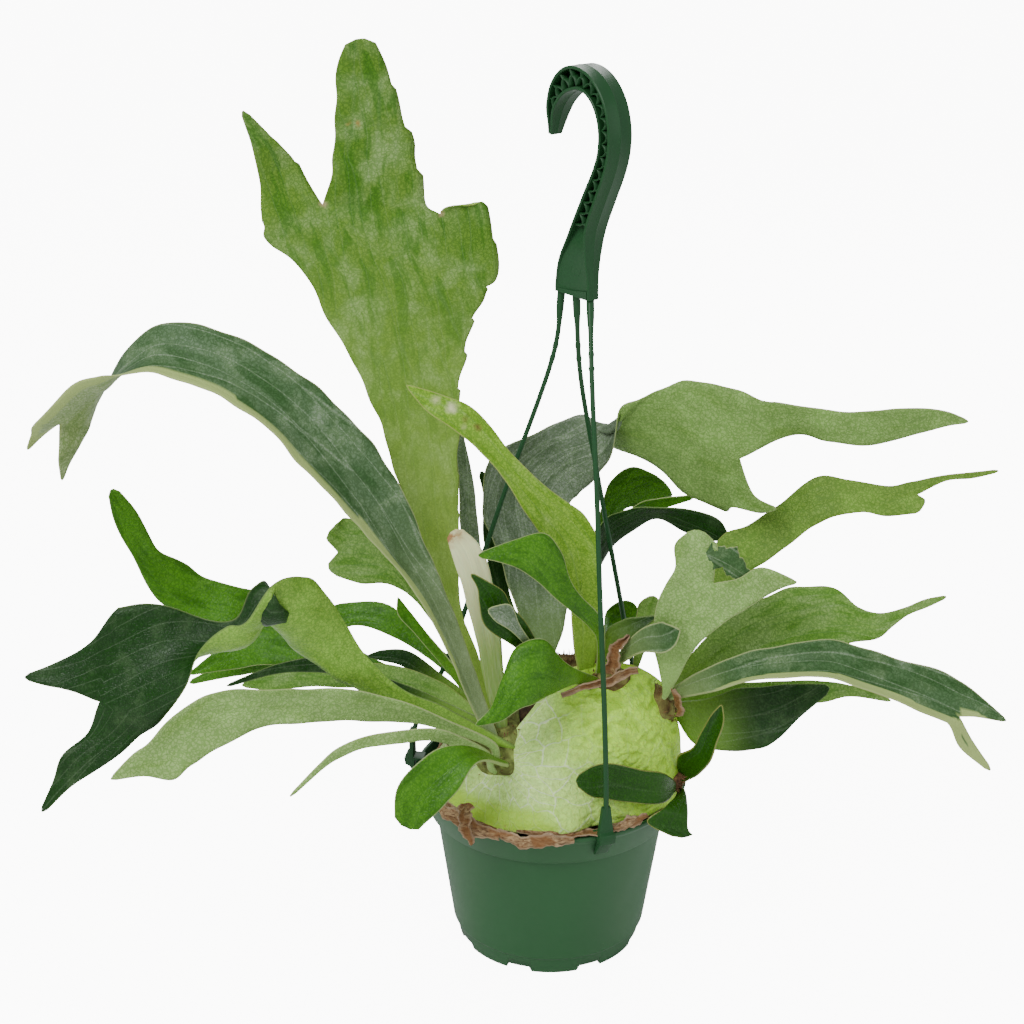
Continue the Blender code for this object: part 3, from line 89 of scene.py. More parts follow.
# Antler fronds.  A station of a blade is x, y, z of its middle line, its width and the
# turn of its upper face in degrees: 0 faces the front, and a positive turn sends the
# margin on the right-hand side of the growth to the back.  A sixth number is the slant:
# by how many degrees the right-hand margin runs ahead of the left-hand one.  The notches
# part the end of a blade into lobes, each with stations of its own.  The cup is the sag
# across.
FRONDS = {
    "frond_tall": dict(
        crown="crown_left", tone="light",
        blade=((-34, -30, 156, 6, 0), (-46, -30, 196, 9, 30), (-58, -26, 224, 13, 35),
               (-66, -22, 270, 27, 25), (-72, -17, 310, 37, 20), (-78, -12, 352, 51, 15),
               (-85, -6, 386, 76, 15, -12), (-91, -2, 414, 104, 12, -22),
               (-95, 0, 425, 128, 10, -22), (-100, 2, 450, 124, 10, -8)),
        notches=((-129, 2, 455), (-65, 8, 449)),
        lobes=(((-152, 0, 471, 24, 20, -28), (-158, -4, 489, 17, 12, -38), (-169, -8, 507, 3, 12)),
               ((-98, 4, 462, 54, 12, -15), (-100, 4, 479, 47, 12, -10),
                (-100, 4, 493, 43, 12, -16),
                (-103, 2, 510, 35, 10, -20), (-105, 0, 527, 29, 10, -12), (-106, -4, 545, 14, 10)),
               ((-54, 8, 454, 20, 10, 84),))),
    "frond_arch_left": dict(
        crown="crown_left", tone="deep", cup=(0.16,),
        blade=((-33, -41, 149, 7, 30), (-55, -52, 217, 14, 45), (-66, -56, 247, 18, 50),
               (-81, -60, 276, 29, 45, -28), (-96, -64, 306, 36, 45), (-117, -66, 335, 41, 45),
               (-142, -66, 362, 38, 45), (-170, -62, 380, 35, 42), (-196, -58, 388, 34, 40),
               (-217, -52, 388, 30, 55), (-234, -47, 378, 28, 80, 10),
               (-246, -43, 368, 34, 105, 28),
               (-256, -40, 360, 35, 120, 20), (-272, -34, 338, 36, 135)),
        notches=((-274, -34, 338),),
        lobes=(((-288, -34, 330, 9, 125), (-293, -34, 323, 2, 130)),
               ((-270, -32, 324, 14, 135), (-274, -31, 314, 8, 130),
                (-276, -31, 304, 2, 125)))),
    "frond_behind_left": dict(
        crown="crown_left", tone="bright",
        blade=((-46, -17, 151, 7, 20), (-89, 6, 162, 11, 40), (-126, 16, 174, 18, 40, 15),
               (-152, 20, 184, 32, 30, 19), (-174, 22, 189, 43, 26, 16)),
        notches=((-178, 22, 187),),
        lobes=(((-192, 20, 172, 16, 22, -16), (-206, 18, 168, 12, 20, -28), (-220, 16, 161, 2, 20)),
               ((-192, 24, 203, 24, 32, 18), (-212, 24, 208, 27, 25, 17),
                (-230, 22, 220, 28, 22, 12),
                (-242, 18, 238, 15, 22), (-251, 14, 262, 15, 20), (-258, 10, 283, 6, 20)))),
    "frond_fork_left": dict(
        crown="crown_left", tone="deep",
        cup=(0.02, 0.02, 0.05, 0.05, 0.05, 0.08, 0.2, 0.5, 0.35, 0.45, 0.3, 0.12, 0.06),
        blade=((-26, -48, 151, 5, 160), (-63, -58, 174, 14, 170), (-85, -66, 187, 18, 178, -35),
               (-104, -74, 208, 27, 188, -50), (-115, -80, 224, 42, 194, -54),
               (-126, -88, 242, 50, 188, -46), (-138, -94, 254, 52, 168, -40),
               (-150, -97, 272, 46, 116), (-163, -98, 259, 38, 86),
               (-173, -98, 249, 34, 104, 10), (-189, -98, 241, 32, 80),
               (-206, -98, 235, 50, 36), (-224, -98, 223, 66, 20, -10)),
        notches=((-247, -100, 201),),
        lobes=(((-240, -102, 182, 32, 18, 32), (-256, -104, 168, 26, 18, 36),
                (-270, -106, 152, 12, 20, 35), (-282, -108, 136, 3, 15)),
               ((-257, -96, 220, 29, 24, -30), (-272, -96, 215, 14, 26, -22),
                (-288, -96, 213, 3, 20)))),
    "frond_pale_left": dict(
        crown="crown_left", tone="pale", cup=(-0.06,),
        blade=((-31, -53, 145, 5, 178), (-35, -60, 158, 5, 178), (-62, -71, 176, 8, 174),
               (-84, -78, 186, 14, 174), (-110, -86, 194, 22, 172), (-138, -96, 198, 23, 172),
               (-157, -103, 200, 25, 172), (-172, -109, 200, 32, 172),
               (-190, -113, 192, 33, 172, 15), (-202, -116, 184, 30, 172, 15),
               (-212, -118, 174, 27, 174), (-224, -119, 172, 15, 174), (-239, -120, 164, 2, 176))),
    "frond_narrow_left": dict(
        crown="crown_left", tone="pale",
        blade=((-34, -58, 141, 4, 185), (-38, -64, 154, 5, 185), (-62, -84, 175, 9, 175),
               (-83, -92, 178, 9, 170), (-102, -98, 178, 8, 168), (-115, -103, 174, 7, 168),
               (-126, -106, 166, 4, 170), (-143, -110, 150, 2, 175))),
    "frond_leaf_low": dict(
        crown="crown_left", tone="bright", cup=(0.08,),
        blade=((-28, -62, 147, 5, 105), (-44, -89, 167, 13, 80), (-59, -100, 161, 26, 20),
               (-73, -106, 147, 26, 10), (-80, -108, 130, 13, 10))),
    "frond_behind_lobed": dict(
        crown="crown_left", tone="light",
        blade=((-38, 8, 151, 3, -5), (-70, 30, 196, 9, 25), (-96, 40, 229, 35, 20, 45),
               (-120, 44, 232, 40, 20, 20)),
        notches=((-131, 44, 231),),
        lobes=(((-136, 42, 220, 7, 20),), ((-134, 46, 246, 15, 18),))),
    "frond_strap_back": dict(
        crown="crown_left", tone="bright",
        blade=((-38, 3, 150, 4, 5), (-60, 14, 169, 9, 10), (-83, 24, 182, 9, 25),
               (-102, 30, 194, 17, 25), (-126, 34, 194, 15, 30), (-148, 36, 178, 23, 25, -25),
               (-174, 36, 168, 24, 15, -20), (-196, 36, 157, 13, 15, -32), (-224, 34, 146, 3, 10))),
    "frond_bud_leaf": dict(
        crown="crown_left", tone="bright",
        blade=((-46, -11, 161, 4, -5), (-60, -7, 179, 6, 0), (-78, -4, 201, 6, 20),
               (-88, -2, 213, 7, 20), (-91, -1, 222, 1, 15))),
    "frond_strap_olive": dict(
        crown="crown_left", tone="light",
        blade=((-40, -25, 154, 5, 0), (-62, -16, 166, 10, 28), (-88, -8, 173, 12, 28),
               (-114, -2, 171, 15, 25), (-145, 3, 168, 14, 25), (-170, 6, 162, 11, 22),
               (-187, 8, 158, 3, 15))),
    "frond_leaf_dark_left": dict(
        crown="crown_left", tone="deep",
        blade=((-42, -4, 151, 5, 0), (-68, 0, 168, 8, 18), (-86, 2, 180, 10, 24),
               (-100, 3, 182, 7, 20), (-110, 4, 181, 2, 5))),
    "frond_strap_dark_left": dict(
        crown="crown_left", tone="deep",
        blade=((-45, -34, 160, 4, 0), (-76, -29, 172, 5, 22), (-112, -26, 182, 10, 24),
               (-128, -25, 189, 11, 22), (-159, -23, 185, 6, 20), (-191, -21, 172, 2, 10))),
    "frond_cream_stub": dict(
        crown="crown_left", tone="cream",
        blade=((-28, -33, 152, 6, 0), (-32, -44, 184, 11, 12), (-36, -47, 217, 14, 12),
               (-42, -48, 250, 17, 14), (-48, -47, 270, 17, 10), (-56, -46, 283, 9, 10))),
    "frond_central": dict(
        crown="crown_top", tone="light", cup=(0.08,),
        blade=((20, -12, 179, 8, 18), (20, -18, 204, 16, 15), (18, -24, 238, 18, 16),
               (14, -31, 266, 26, 18, -18), (2, -37, 288, 32, 22, -36),
               (-16, -43, 311, 31, 32, -62), (-32, -47, 330, 20, 34, -52),
               (-50, -50, 350, 18, 28, -24), (-65, -52, 360, 13, 22, -28),
               (-80, -54, 370, 2, 10))),
    "frond_leaf_mid": dict(
        crown="crown_top", tone="bright",
        blade=((28, -18, 187, 4, 10), (28, -28, 209, 5, 0), (24, -38, 225, 9, 14),
               (8, -52, 248, 12, 28), (-4, -58, 269, 22, 20), (-13, -60, 278, 25, 18, -22),
               (-25, -62, 278, 15, 22, -38), (-41, -64, 276, 3, 5))),
    "frond_arch_right": dict(
        crown="crown_top", tone="deep",
        cup=(0.04, 0.06, 0.08, 0.1, 0.14, 0.2, 0.25, 0.3, 0.2, 0.1, 0.06, 0.04, 0.02),
        blade=((-2, 8, 180, 7, 20), (-6, 16, 200, 28, 20, -16), (-10, 26, 234, 45, 20, -15),
               (-17, 36, 265, 54, 18), (-11, 42, 282, 62, 12, 12), (4, 44, 296, 50, 0, 22),
               (17, 46, 307, 42, -34, 21), (26, 48, 322, 48, -88, 30),
               (36, 48, 323, 58, -132, 38), (47, 41, 321, 62, -158, 32),
               (68, 34, 320, 66, -164, 11), (89, 26, 312, 76, -168), (108, 18, 306, 76, -170)),
        notches=((107, 15, 306),),
        lobes=(((109, 14, 282, 16, -165, -30), (119, 12, 278, 9, -175, -20),
                (129, 10, 277, 2, -180)),
               ((133, 10, 332, 23, -168, 12), (159, 4, 330, 22, -166, 18),
                (182, 0, 331, 24, -166, 12),
                (202, -4, 337, 18, -168), (218, -6, 339, 10, -170), (231, -8, 338, 2, -175)))),
    "frond_leaf_round_back": dict(
        crown="crown_top", tone="bright",
        blade=((23, 26, 177, 2, 5), (21, 60, 208, 5, 22), (36, 72, 252, 15, 20),
               (47, 76, 259, 34, 12, 14), (58, 76, 266, 33, 14, 20),
               (69, 75, 266, 17, 18, 34))),
    "frond_strap_small_back": dict(
        crown="crown_top", tone="bright",
        blade=((24, 19, 178, 2, 0), (22, 50, 205, 3, 0), (35, 63, 234, 6, 22),
               (51, 64, 255, 5, 24), (65, 63, 259, 8, 15), (85, 61, 264, 3, 5))),
    "frond_leaf_back_right": dict(
        crown="crown_top", tone="deep",
        blade=((18, 6, 182, 2, 0), (18, 32, 206, 5, 15), (30, 52, 238, 21, 32, -30),
               (48, 54, 252, 17, 24), (64, 54, 256, 12, 34), (81, 52, 252, 19, 20),
               (96, 50, 247, 17, 15), (105, 49, 242, 5, 15))),
    "frond_spread_right_high": dict(
        crown="crown_right", tone="pale",
        blade=((71, 14, 158, 5, 160), (86, 24, 193, 10, 148), (103, 32, 232, 27, 154, 26),
               (122, 34, 246, 25, 148), (142, 34, 262, 23, 144), (158, 32, 276, 26, 152),
               (177, 30, 278, 21, 152, -24), (196, 28, 276, 18, 156), (210, 26, 279, 19, 160)),
        notches=((213, 26, 281),),
        lobes=(((217, 25, 276, 5, 178),),
               ((227, 24, 292, 4, 178), (242, 22, 295, 4, 178), (257, 20, 299, 2, 178)))),
    "frond_pale_fork": dict(
        crown="crown_right", tone="pale",
        blade=((68, -14, 170, 5, 160), (70, -22, 202, 23, 170), (76, -28, 223, 36, 172, -12),
               (85, -32, 237, 46, 172, -22)),
        notches=((91, -31, 247),),
        lobes=(((112, -38, 248, 19, 176, -32), (122, -42, 256, 16, 178, -28),
                (136, -46, 255, 2, 178)),
               ((80, -33, 258, 23, 176), (80, -33, 271, 24, 176), (80, -32, 280, 7, 178)))),
    "frond_spread_right_mid": dict(
        crown="crown_right", tone="light",
        blade=((71, 4, 158, 5, -5), (86, 2, 176, 17, -14), (110, 0, 198, 29, -20),
               (131, -2, 209, 34, -20), (151, -4, 215, 38, -22, 12), (171, -6, 217, 34, -22, 26),
               (184, -8, 214, 22, -22, 40), (194, -9, 216, 11, -20, 24), (205, -10, 222, 5, -18),
               (216, -11, 228, 5, -15), (227, -12, 233, 2, -10))),
    "frond_arch_right_low": dict(
        crown="crown_right", tone="deep", cup=(0.2,),
        blade=((68, -10, 164, 5, -15), (88, -22, 180, 13, -34), (112, -32, 195, 17, -40),
               (136, -40, 204, 20, -46), (158, -46, 208, 23, -44), (178, -50, 204, 24, -42),
               (196, -53, 199, 23, -38), (212, -55, 194, 27, -32), (228, -56, 187, 25, -30)),
        notches=((231, -58, 179),),
        lobes=(((244, -58, 184, 10, -25), (257, -60, 178, 2, -15)),
               ((236, -60, 163, 9, -28), (250, -63, 148, 3, -30)))),
    "frond_dark_right": dict(
        crown="crown_right", tone="deep",
        blade=((74, 8, 149, 6, 5), (90, 2, 142, 28, -22), (112, -2, 145, 37, -24),
               (136, -4, 152, 34, -26, -24), (150, -6, 161, 21, -30, -42), (164, -8, 171, 5, -25))),
    "frond_pale_right_back": dict(
        crown="crown_right", tone="light",
        blade=((73, 20, 148, 4, 0), (115, 22, 152, 11, -18), (160, 24, 152, 14, -18),
               (182, 24, 153, 7, -25), (207, 24, 147, 2, -10))),
    "frond_leaf_right": dict(
        crown="crown_low", tone="bright", cup=(0.15,),
        blade=((78, -20, 114, 5, -30), (81, -31, 130, 16, -26), (88, -38, 141, 13, -26),
               (92, -40, 154, 11, -26), (96, -42, 167, 9, -25), (98, -42, 176, 2, -10))),
    "frond_leaf_short_low": dict(
        crown="crown_low", tone="deep", cup=(0.06,),
        blade=((74, -32, 117, 4, 70), (66, -54, 127, 17, 35), (50, -64, 134, 20, 20),
               (34, -69, 140, 21, 16), (24, -72, 141, 18, 16), (15, -73, 142, 6, 15))),
    "frond_leaf_corner": dict(
        crown="crown_low", tone="bright",
        blade=((78, -34, 114, 4, 160), (73, -62, 118, 16, 45, 32), (68, -68, 111, 26, -30, -25),
               (78, -69, 104, 12, -50, -48))),
    "frond_leaf_shield": dict(
        crown="crown_top", tone="bright", cup=(-0.06,),
        blade=((24, -24, 179, 9, 35), (15, -42, 192, 8, 38), (4, -54, 198, 19, 32),
               (-6, -64, 207, 35, 24), (-18, -70, 205, 34, 20, -32), (-28, -74, 192, 22, 20, -50),
               (-34, -76, 184, 10, 20, -50), (-42, -78, 179, 2, 5))),
    "frond_leaf_dark_mid": dict(
        crown="crown_top", tone="bright",
        blade=((2, -14, 176, 4, 8), (-7, -36, 202, 5, 10), (-18, -54, 223, 14, 22),
               (-30, -60, 238, 19, 20), (-34, -62, 250, 15, 18), (-39, -63, 258, 7, 15),
               (-45, -64, 265, 2, 5))),
    "frond_leaf_curl": dict(
        crown="crown_top", tone="deep", cup=(0.1,),
        blade=((6, -18, 176, 4, 5), (-10, -46, 210, 4, 10), (-20, -64, 232, 6, 18),
               (-27, -70, 244, 12, 12), (-35, -72, 247, 3, 5))),
    "frond_cup_leaf_a": dict(
        crown="crown_top", tone="deep", cup=(0.15,),
        blade=((32, -6, 184, 3, -5), (34, -14, 204, 9, -40), (44, -16, 211, 12, -32),
               (52, -16, 215, 7, -32), (60, -16, 219, 2, -10))),
    "frond_cup_leaf_b": dict(
        crown="crown_top", tone="deep", cup=(0.2,),
        blade=((36, -16, 187, 4, -15), (50, -30, 209, 12, -45), (62, -34, 214, 18, -38),
               (68, -34, 216, 13, -28), (73, -34, 219, 2, -10))),
    "frond_leaf_round_a": dict(
        crown="crown_top", tone="bright",
        blade=((30, 16, 179, 2, 215), (34, 54, 173, 3, 240), (41, 76, 174, 18, 315),
               (47, 78, 180, 17, 360), (51, 78, 185, 7, 360))),
    "frond_leaf_round_b": dict(
        crown="crown_top", tone="light",
        blade=((50, 8, 173, 3, -5), (56, 18, 202, 12, 5), (58, 19, 210, 13, 8),
               (61, 19, 216, 5, 5))),
    "frond_strap_rear_a": dict(
        crown="crown_left", tone="deep",
        blade=((-31, 6, 156, 4, 0), (-40, 12, 200, 7, 15), (-49, 18, 252, 11, 20),
               (-52, 20, 289, 9, 22), (-57, 22, 324, 4, 10))),
    "frond_strap_rear_b": dict(
        crown="crown_top", tone="deep",
        blade=((-10, 6, 178, 4, 10), (-29, 28, 209, 8, 22), (-36, 42, 242, 13, 20),
               (-38, 47, 266, 9, 16), (-44, 49, 283, 4, 5))),
}
# Shield fronds, laid on the dome: azimuth and elevation pairs of their edges
SHIELDS = {
    "shield_front": dict(
        lower=((-88, 11), (-66, 10), (-50, 8), (-36, 5.2), (-20, 4.2), (0, 4.4), (10, 5.2),
               (30, 4.0), (64, 3.2), (80, 4.2), (100, 6)),
        upper=((-88, 20), (-55, 27), (-38, 32), (-28, 53), (-16, 71), (5, 79),
               (35, 80), (60, 76), (76, 68), (88, 54), (100, 34)),
        flare=((-88, 1), (-60, 7), (10, 7), (34, 3), (60, 5), (80, 0), (100, 0)),
        lift=2.4, material="shield_green"),
    "shield_back": dict(
        lower=((104, 8), (140, 7), (200, 8), (268, 8)),
        upper=((104, 24), (114, 26), (130, 44), (155, 70), (190, 76), (225, 68),
               (250, 34), (268, 26)),
        flare=((104, 0), (130, 4), (240, 4), (268, 0)),
        lift=2.4, material="shield_dry"),
    "husk_front": dict(
        lower=((-74, 4.6), (-60, 3.2), (-46, 4.6), (-30, 3.4), (-14, 4.5), (0, 3.6), (13, 4.6)),
        upper=((-74, 8), (13, 8)),
        flare=((-88, 1), (-60, 8.5), (10, 8.5), (34, 0)),
        lift=0.95, material="shield_dry"),
}
SHIELD_THICKNESS = 1.1
SHIELD_COLUMNS, SHIELD_ROWS = 300, 90
FLAKE_THICKNESS, FLAKE_STEPS, FLAKE_COLUMNS = 0.6, 22, 14
FOLD_DEPTH, FOLDS = 0.5, 11
FLARE_ELEVATION, FLARE_FADE = 8.0, 7.0
CLIP_SHADOW = 9.0             # degrees on each side of a clip where nothing flares

# Crowns: middle, half lengths across and along, turn of the long axis
CROWNS = {
    "crown_left": dict(middle=(-61, 46), reach=(20, 40), turn=76),
    "crown_top": dict(middle=(88, 77), reach=(34, 31), turn=0),
    "crown_right": dict(middle=(91, 38), reach=(15, 22), turn=70),
    "crown_low": dict(middle=(70, 9.5), reach=(15, 5.0), turn=0),
}

# Hanger: middle line of the hook in its own plane, with its width across
HOOK_FOOT = ((-2, 404.8, 29, 7.8), (-2, 407.0, 29, 7.8), (-2, 409.0, 29, 7.8),
             (-1, 420, 26.5, 8.6), (3.2, 434, 18, 12.5), (8, 447, 12, 16),
             (16.3, 464.5, 10.4, 16.6), (22.0, 476, 9.6, 16.6), (25.6, 486, 9.2, 16.6))
HOOK_BOW = dict(middle=(2.8, 496.0), reach=(24.0, 29.4), start=-3, end=162,
                widths=(9.3, 9.5, 10.2, 11.5, 13.5, 11, 6.5),
                depths=(16.6, 16.6, 16.6, 16.4, 16.2, 15.6, 13.5))
HOOK_TIP = ((-21.4, 497.5, 4.2, 10.5), (-22.6, 491.5, 3.2, 8.0))
HOOK_WALL = 1.8
HOOK_WEB = 2.4
STRANDS = {
    "strand_front": (FRONT_CLIP, ((18.2, -3.4, 404.4), (19.7, -26, 365), (23.5, -47, 303),
                                  (26.2, -63, 250), (29.5, -74, 193), (31.6, -79, 145))),
    "strand_left": (LEFT_CLIP, ((2.4, 15.4, 404.4), (-2.6, 11, 365), (-30, 8, 282),
                                (-61, 6, 183), (-78, 9, 146))),
    "strand_back": (BACK_CLIP, ((10.5, 5.8, 404.4), (13.9, 14, 355), (24.8, 34, 290),
                                (43, 58, 190), (51, 66, 146))),
}
STRAND_END_Z = 127.0
STRAND_END_RADIUS = 85.4
CLIP_WIDTH, CLIP_FOOT_Z = 8.0, 95.0
CLIP_WAIST = ((95, 104, 106, 112, 116, 129), (1, 1, 1.2, 1.2, 0.8, 0.62))   # height, share
STRAND_NUBS = (0.105, 0.132)  # moulding nubs, as shares of a strand's length
RIB_PITCH, RIB_THICKNESS = 7.5, 0.7
RING_MARK_RADIUS, RING_MARK_Z = 4.2, 421.0
VEIN_SOURCE = (-28, -50, 142)  # where the shield's veins fan out from

# Scorched and torn places: x, y, z, size and colour
BURNS_TALL = ((-114, 2, 499, 3, (0.45, 0.24, 0.06)), (-109, 2, 499.5, 3, (0.40, 0.20, 0.05)),
              (-93, 0, 545, 2.5, (0.50, 0.30, 0.10)),
              (-65, 8, 449, 3, (0.50, 0.33, 0.20)), (-129, 2, 455, 3, (0.50, 0.33, 0.20)))
BURNS_CENTRAL = ((-64, -52, 361, 4, (0.70, 0.72, 0.36)), (-56, -50, 356, 5, (0.74, 0.76, 0.42)),
                 (-48, -50, 350, 4, (0.12, 0.06, 0.02)), (-42, -48, 344, 4, (0.14, 0.07, 0.02)),
                 (-50, -50, 345, 3, (0.50, 0.58, 0.20)))

# Raggedness of the shields' edges in degrees, and how many scales each crown has
FRILL = {"shield_front": 0.7, "shield_back": 1.2, "husk_front": 1.3}
SCALES = {"crown_left": 220, "crown_top": 420, "crown_right": 200, "crown_low": 90}
# Where the shield's top stands off: azimuth and height
CREST = ((-40, 0), (-8, 3), (20, 6.5), (60, 9), (84, 10), (100, 4))
# Fronds whose margin rolls over and shows its underside, given as a strip of that colour: side,
# width, start
FOLDED_LIPS = {"frond_arch_left": (-1, 5.0, 60), "frond_arch_right_low": (1, 4.5, 40)}
# The dark face of a lobe that folds over in the pale fork's notch
FORK_FOLD = (((86, -33.5, 268), (94, -34, 264), (104, -35, 258), (116, -37.5, 251)),
             (10, 17, 13, 3), (0.35, 0, 1), 1.0)
TEETH = {"frond_tall": 0.14}  # toothed right margins, as a share of half the width
# Torn flakes of old shields: path, widths, cross direction, curl
FLAKES = {
    "flap": (((-47, -72, 124), (-49, -80, 121), (-47, -84, 114), (-44, -85.5, 107)),
             (9, 8, 6, 3), (1, 0.1, 0.1), 2.0),
    "rim_left": (((-68, -52, 120), (-60, -66, 117), (-46, -77, 114), (-28, -84.5, 112)),
                 (5, 9, 10, 6), (0.25, 0.1, 1), 1.5),
    "rim_mid": (((-30, -83, 112), (-16, -87, 110.5), (0, -88.5, 111), (14, -86.5, 112)),
                (5, 8, 8, 4), (0, 0.2, 1), 1.5),
    "rim_clip": (((10, -81, 110.6), (22, -77, 110.8), (34, -73, 110.8), (45, -68, 111.2)),
                 (6, 9, 9, 7), (0.4, -0.9, 0.1), 0.8),
    "rim_right": (((36, -76, 113), (46, -71, 114), (56, -64, 115)),
                  (3, 8, 3), (0, 0.3, 1), 1.5),
    "crest": (((6, -46, 182), (22, -42, 186), (38, -38, 190), (50, -34, 193)),
              (3, 6, 8, 6), (0.1, -0.3, 1), -2.0),
    "stump": (((33, -30, 188), (35, -28, 197), (38, -26, 205), (44, -26, 211)),
              (10, 8, 6, 2), (1, -0.3, 0), 2.5),
    "scrap": (((71, -22, 176), (74, -20, 169), (76, -20, 162), (75, -20, 157)),
              (3, 6, 6, 3), (0.7, -0.7, 0), 1.5)}
# Fronds whose finish differs from the one that their own tone names
SPECIAL_TONES = {
    "tall": ("frond_tall",),
    "central": ("frond_central",),
    "arch": ("frond_arch_left",),
    "light": ("frond_spread_right_high",),
    "dark": ("frond_fork_left", "frond_dark_right", "frond_strap_dark_left", "frond_leaf_dark_left",
             "frond_leaf_back_right", "frond_strap_rear_b", "frond_cup_leaf_a"),
    "bloom": ("frond_arch_right", "frond_strap_rear_a", "frond_leaf_curl"),
    # painted shade: these low leaves take a darker copy of the bright finish
    "shaded_glossy": ("frond_leaf_short_low", "frond_leaf_right", "frond_leaf_corner",
               "frond_leaf_dark_mid")}

# Light, floor and camera, in metres
FLOOR_GLOW = 10.0             # how much brighter the floor and sky are to the eye
FLOOR_HALF = 15.0
CAMERA_PLACE = (0, -1.0727, 0.702)
CAMERA_AXES = ((0.9997, 0.0251, 0.0062), (-0.0150, 0.3684, 0.9296), (0.0210, -0.9293, 0.3686))
CAMERA_LENS, SENSOR_WIDTH = 70.3, 36       # millimetres


# ---- curves and sheets ----

def unit(vectors):
    """Vectors scaled to length 1."""
    size = np.linalg.norm(vectors, axis=-1, keepdims=True)
    return vectors / np.maximum(size, 1e-9)


def heading(azimuth, elevation):
    """Unit vector for an azimuth from the front and an elevation."""
    a, e = np.radians(azimuth), np.radians(elevation)
    return np.stack([np.sin(a) * np.cos(e), -np.cos(a) * np.cos(e), np.sin(e)], axis=-1)


def dome_radius(direction):
    """Distance of the dome's surface from its centre: a ball with smooth lumps."""
    radius = np.full(direction.shape[:-1], DOME_RADIUS)
    for azimuth, elevation, gain, sharpness in DOME_LUMPS:
        toward = np.clip(direction @ heading(azimuth, elevation), 0, 1)
        radius = radius + gain * toward ** sharpness
    return radius


def on_dome(direction, height):
    """Points at a height over the dome."""
    centre = np.array([0.0, 0.0, DOME_Z])
    return centre + direction * (dome_radius(direction) + height)[..., None]


def along(knots, steps, lead=None):
    """Smooth curve through the knots (Catmull-Rom), with so many steps in each span."""
    knots = np.asarray(knots, dtype=float)
    first = 2 * knots[0] - knots[1] if lead is None else lead
    padded = np.vstack([first, knots, 2 * knots[-1] - knots[-2]])
    rows = []
    for i, count in enumerate(steps):
        a, b, c, d = padded[i:i + 4]
        t = (np.arange(count) / count)[:, None]
        rows.append(0.5 * (2 * b + (c - a) * t + (2 * a - 5 * b + 4 * c - d) * t ** 2
                           + (3 * b - a - 3 * c + d) * t ** 3))
    rows.append(knots[-1:])
    return np.vstack(rows)


def grid_faces(index):
    """Quads of a grid of vertex numbers."""
    return np.stack([index[:-1, :-1], index[:-1, 1:], index[1:, 1:], index[1:, :-1]],
                    axis=-1).reshape(-1, 4)


def ring_faces(count, sides, flip=False):
    """Faces of a closed body made of rings of points: quads between the rings and a cap on
    each end; flip turns them all round."""
    index = np.arange(count).reshape(-1, sides)
    index = np.column_stack([index, index[:, 0]])
    quads, first, last = grid_faces(index), index[0, :-1][::-1], index[-1, :-1]
    if flip:
        quads, first, last = quads[:, ::-1], first[::-1], last[::-1]
    return [tuple(face) for face in (*quads.tolist(), first.tolist(), last.tolist())]


def run_along(path):
    """Length of a path up to each of its points."""
    return np.concatenate([[0], np.cumsum(np.linalg.norm(np.diff(path, axis=0), axis=1))])


def vertex_normals(points, faces):
    """Mean normals of a mesh of quads."""
    corner = points[faces]
    flat = np.cross(corner[:, 2] - corner[:, 0], corner[:, 3] - corner[:, 1])
    normal = np.zeros_like(points)
    for k in range(4):
        np.add.at(normal, faces[:, k], flat)
    return unit(normal)


def border_walls(faces, count):
    """Quads that join the two faces of a sheet along its border."""
    edges = np.vstack([faces[:, [k, (k + 1) % 4]] for k in range(4)])
    keys = edges[:, 0].astype(np.int64) * count + edges[:, 1]
    back = edges[:, 1].astype(np.int64) * count + edges[:, 0]
    a, b = edges[~np.isin(keys, back)].T
    return np.stack([b, a, a + count, b + count], axis=-1)


def add_piece(name, points, faces, look, nodes=(), marks=None, smooth=True):
    """A mesh object from points in millimetres, riding on the part, with vertex marks."""
    mesh = bpy.data.meshes.new(name)
    points = np.ascontiguousarray(np.asarray(points, float) * MM)
    if isinstance(faces, np.ndarray):
        mesh.vertices.add(len(points))
        mesh.vertices.foreach_set("co", points.ravel())
        mesh.loops.add(faces.size)
        mesh.loops.foreach_set("vertex_index", faces.ravel().astype(np.int32))
        mesh.polygons.add(len(faces))
        starts = np.arange(0, faces.size, faces.shape[1], dtype=np.int32)
        mesh.polygons.foreach_set("loop_start", starts)
        mesh.update(calc_edges=True)
    else:
        mesh.from_pydata(points.tolist(), [], faces)
    mesh.validate()
    for mark, values in (marks or {}).items():
        layer = mesh.attributes.new(mark, "FLOAT", "POINT")
        layer.data.foreach_set("value", np.ascontiguousarray(values, dtype=np.float32))
    if smooth:
        mesh.shade_smooth()
    mesh.materials.append(look)
    made = bpy.data.objects.new(name, mesh)
    bpy.context.scene.collection.objects.link(made)
    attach(made, "root")
    if nodes:
        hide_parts(*nodes)
    return made


def join_meshes(parts):
    """Points and quads of several meshes as one."""
    points, faces, start = [], [], 0
    for p, f in parts:
        points.append(p)
        faces.append(f + start)
        start += len(p)
    return np.vstack(points), np.vstack(faces)


# ---- fronds ----

def margins(stations, before=None):
    """Left and right margins of a blade from its stations."""
    stations = np.array([(*station, 0.0)[:6] for station in stations], float)
    middle, width = stations[:, :3], stations[:, 3:4]
    turn, slant = np.radians(stations[:, 4:5]), np.radians(stations[:, 5:])
    line = middle if before is None else np.vstack([before, middle])
    run = unit(np.gradient(line, axis=0))[-len(middle):]
    level = unit(np.stack([run[:, 2], 0 * run[:, 2], -run[:, 0]], axis=-1))
    back = unit(np.array([0, 1, 0]) - run[:, 1:2] * run)
    across = level * np.cos(turn) + back * np.sin(turn)
    across = (across * np.cos(slant) + run * np.sin(slant)) * width / 2
    return middle - across, middle + across


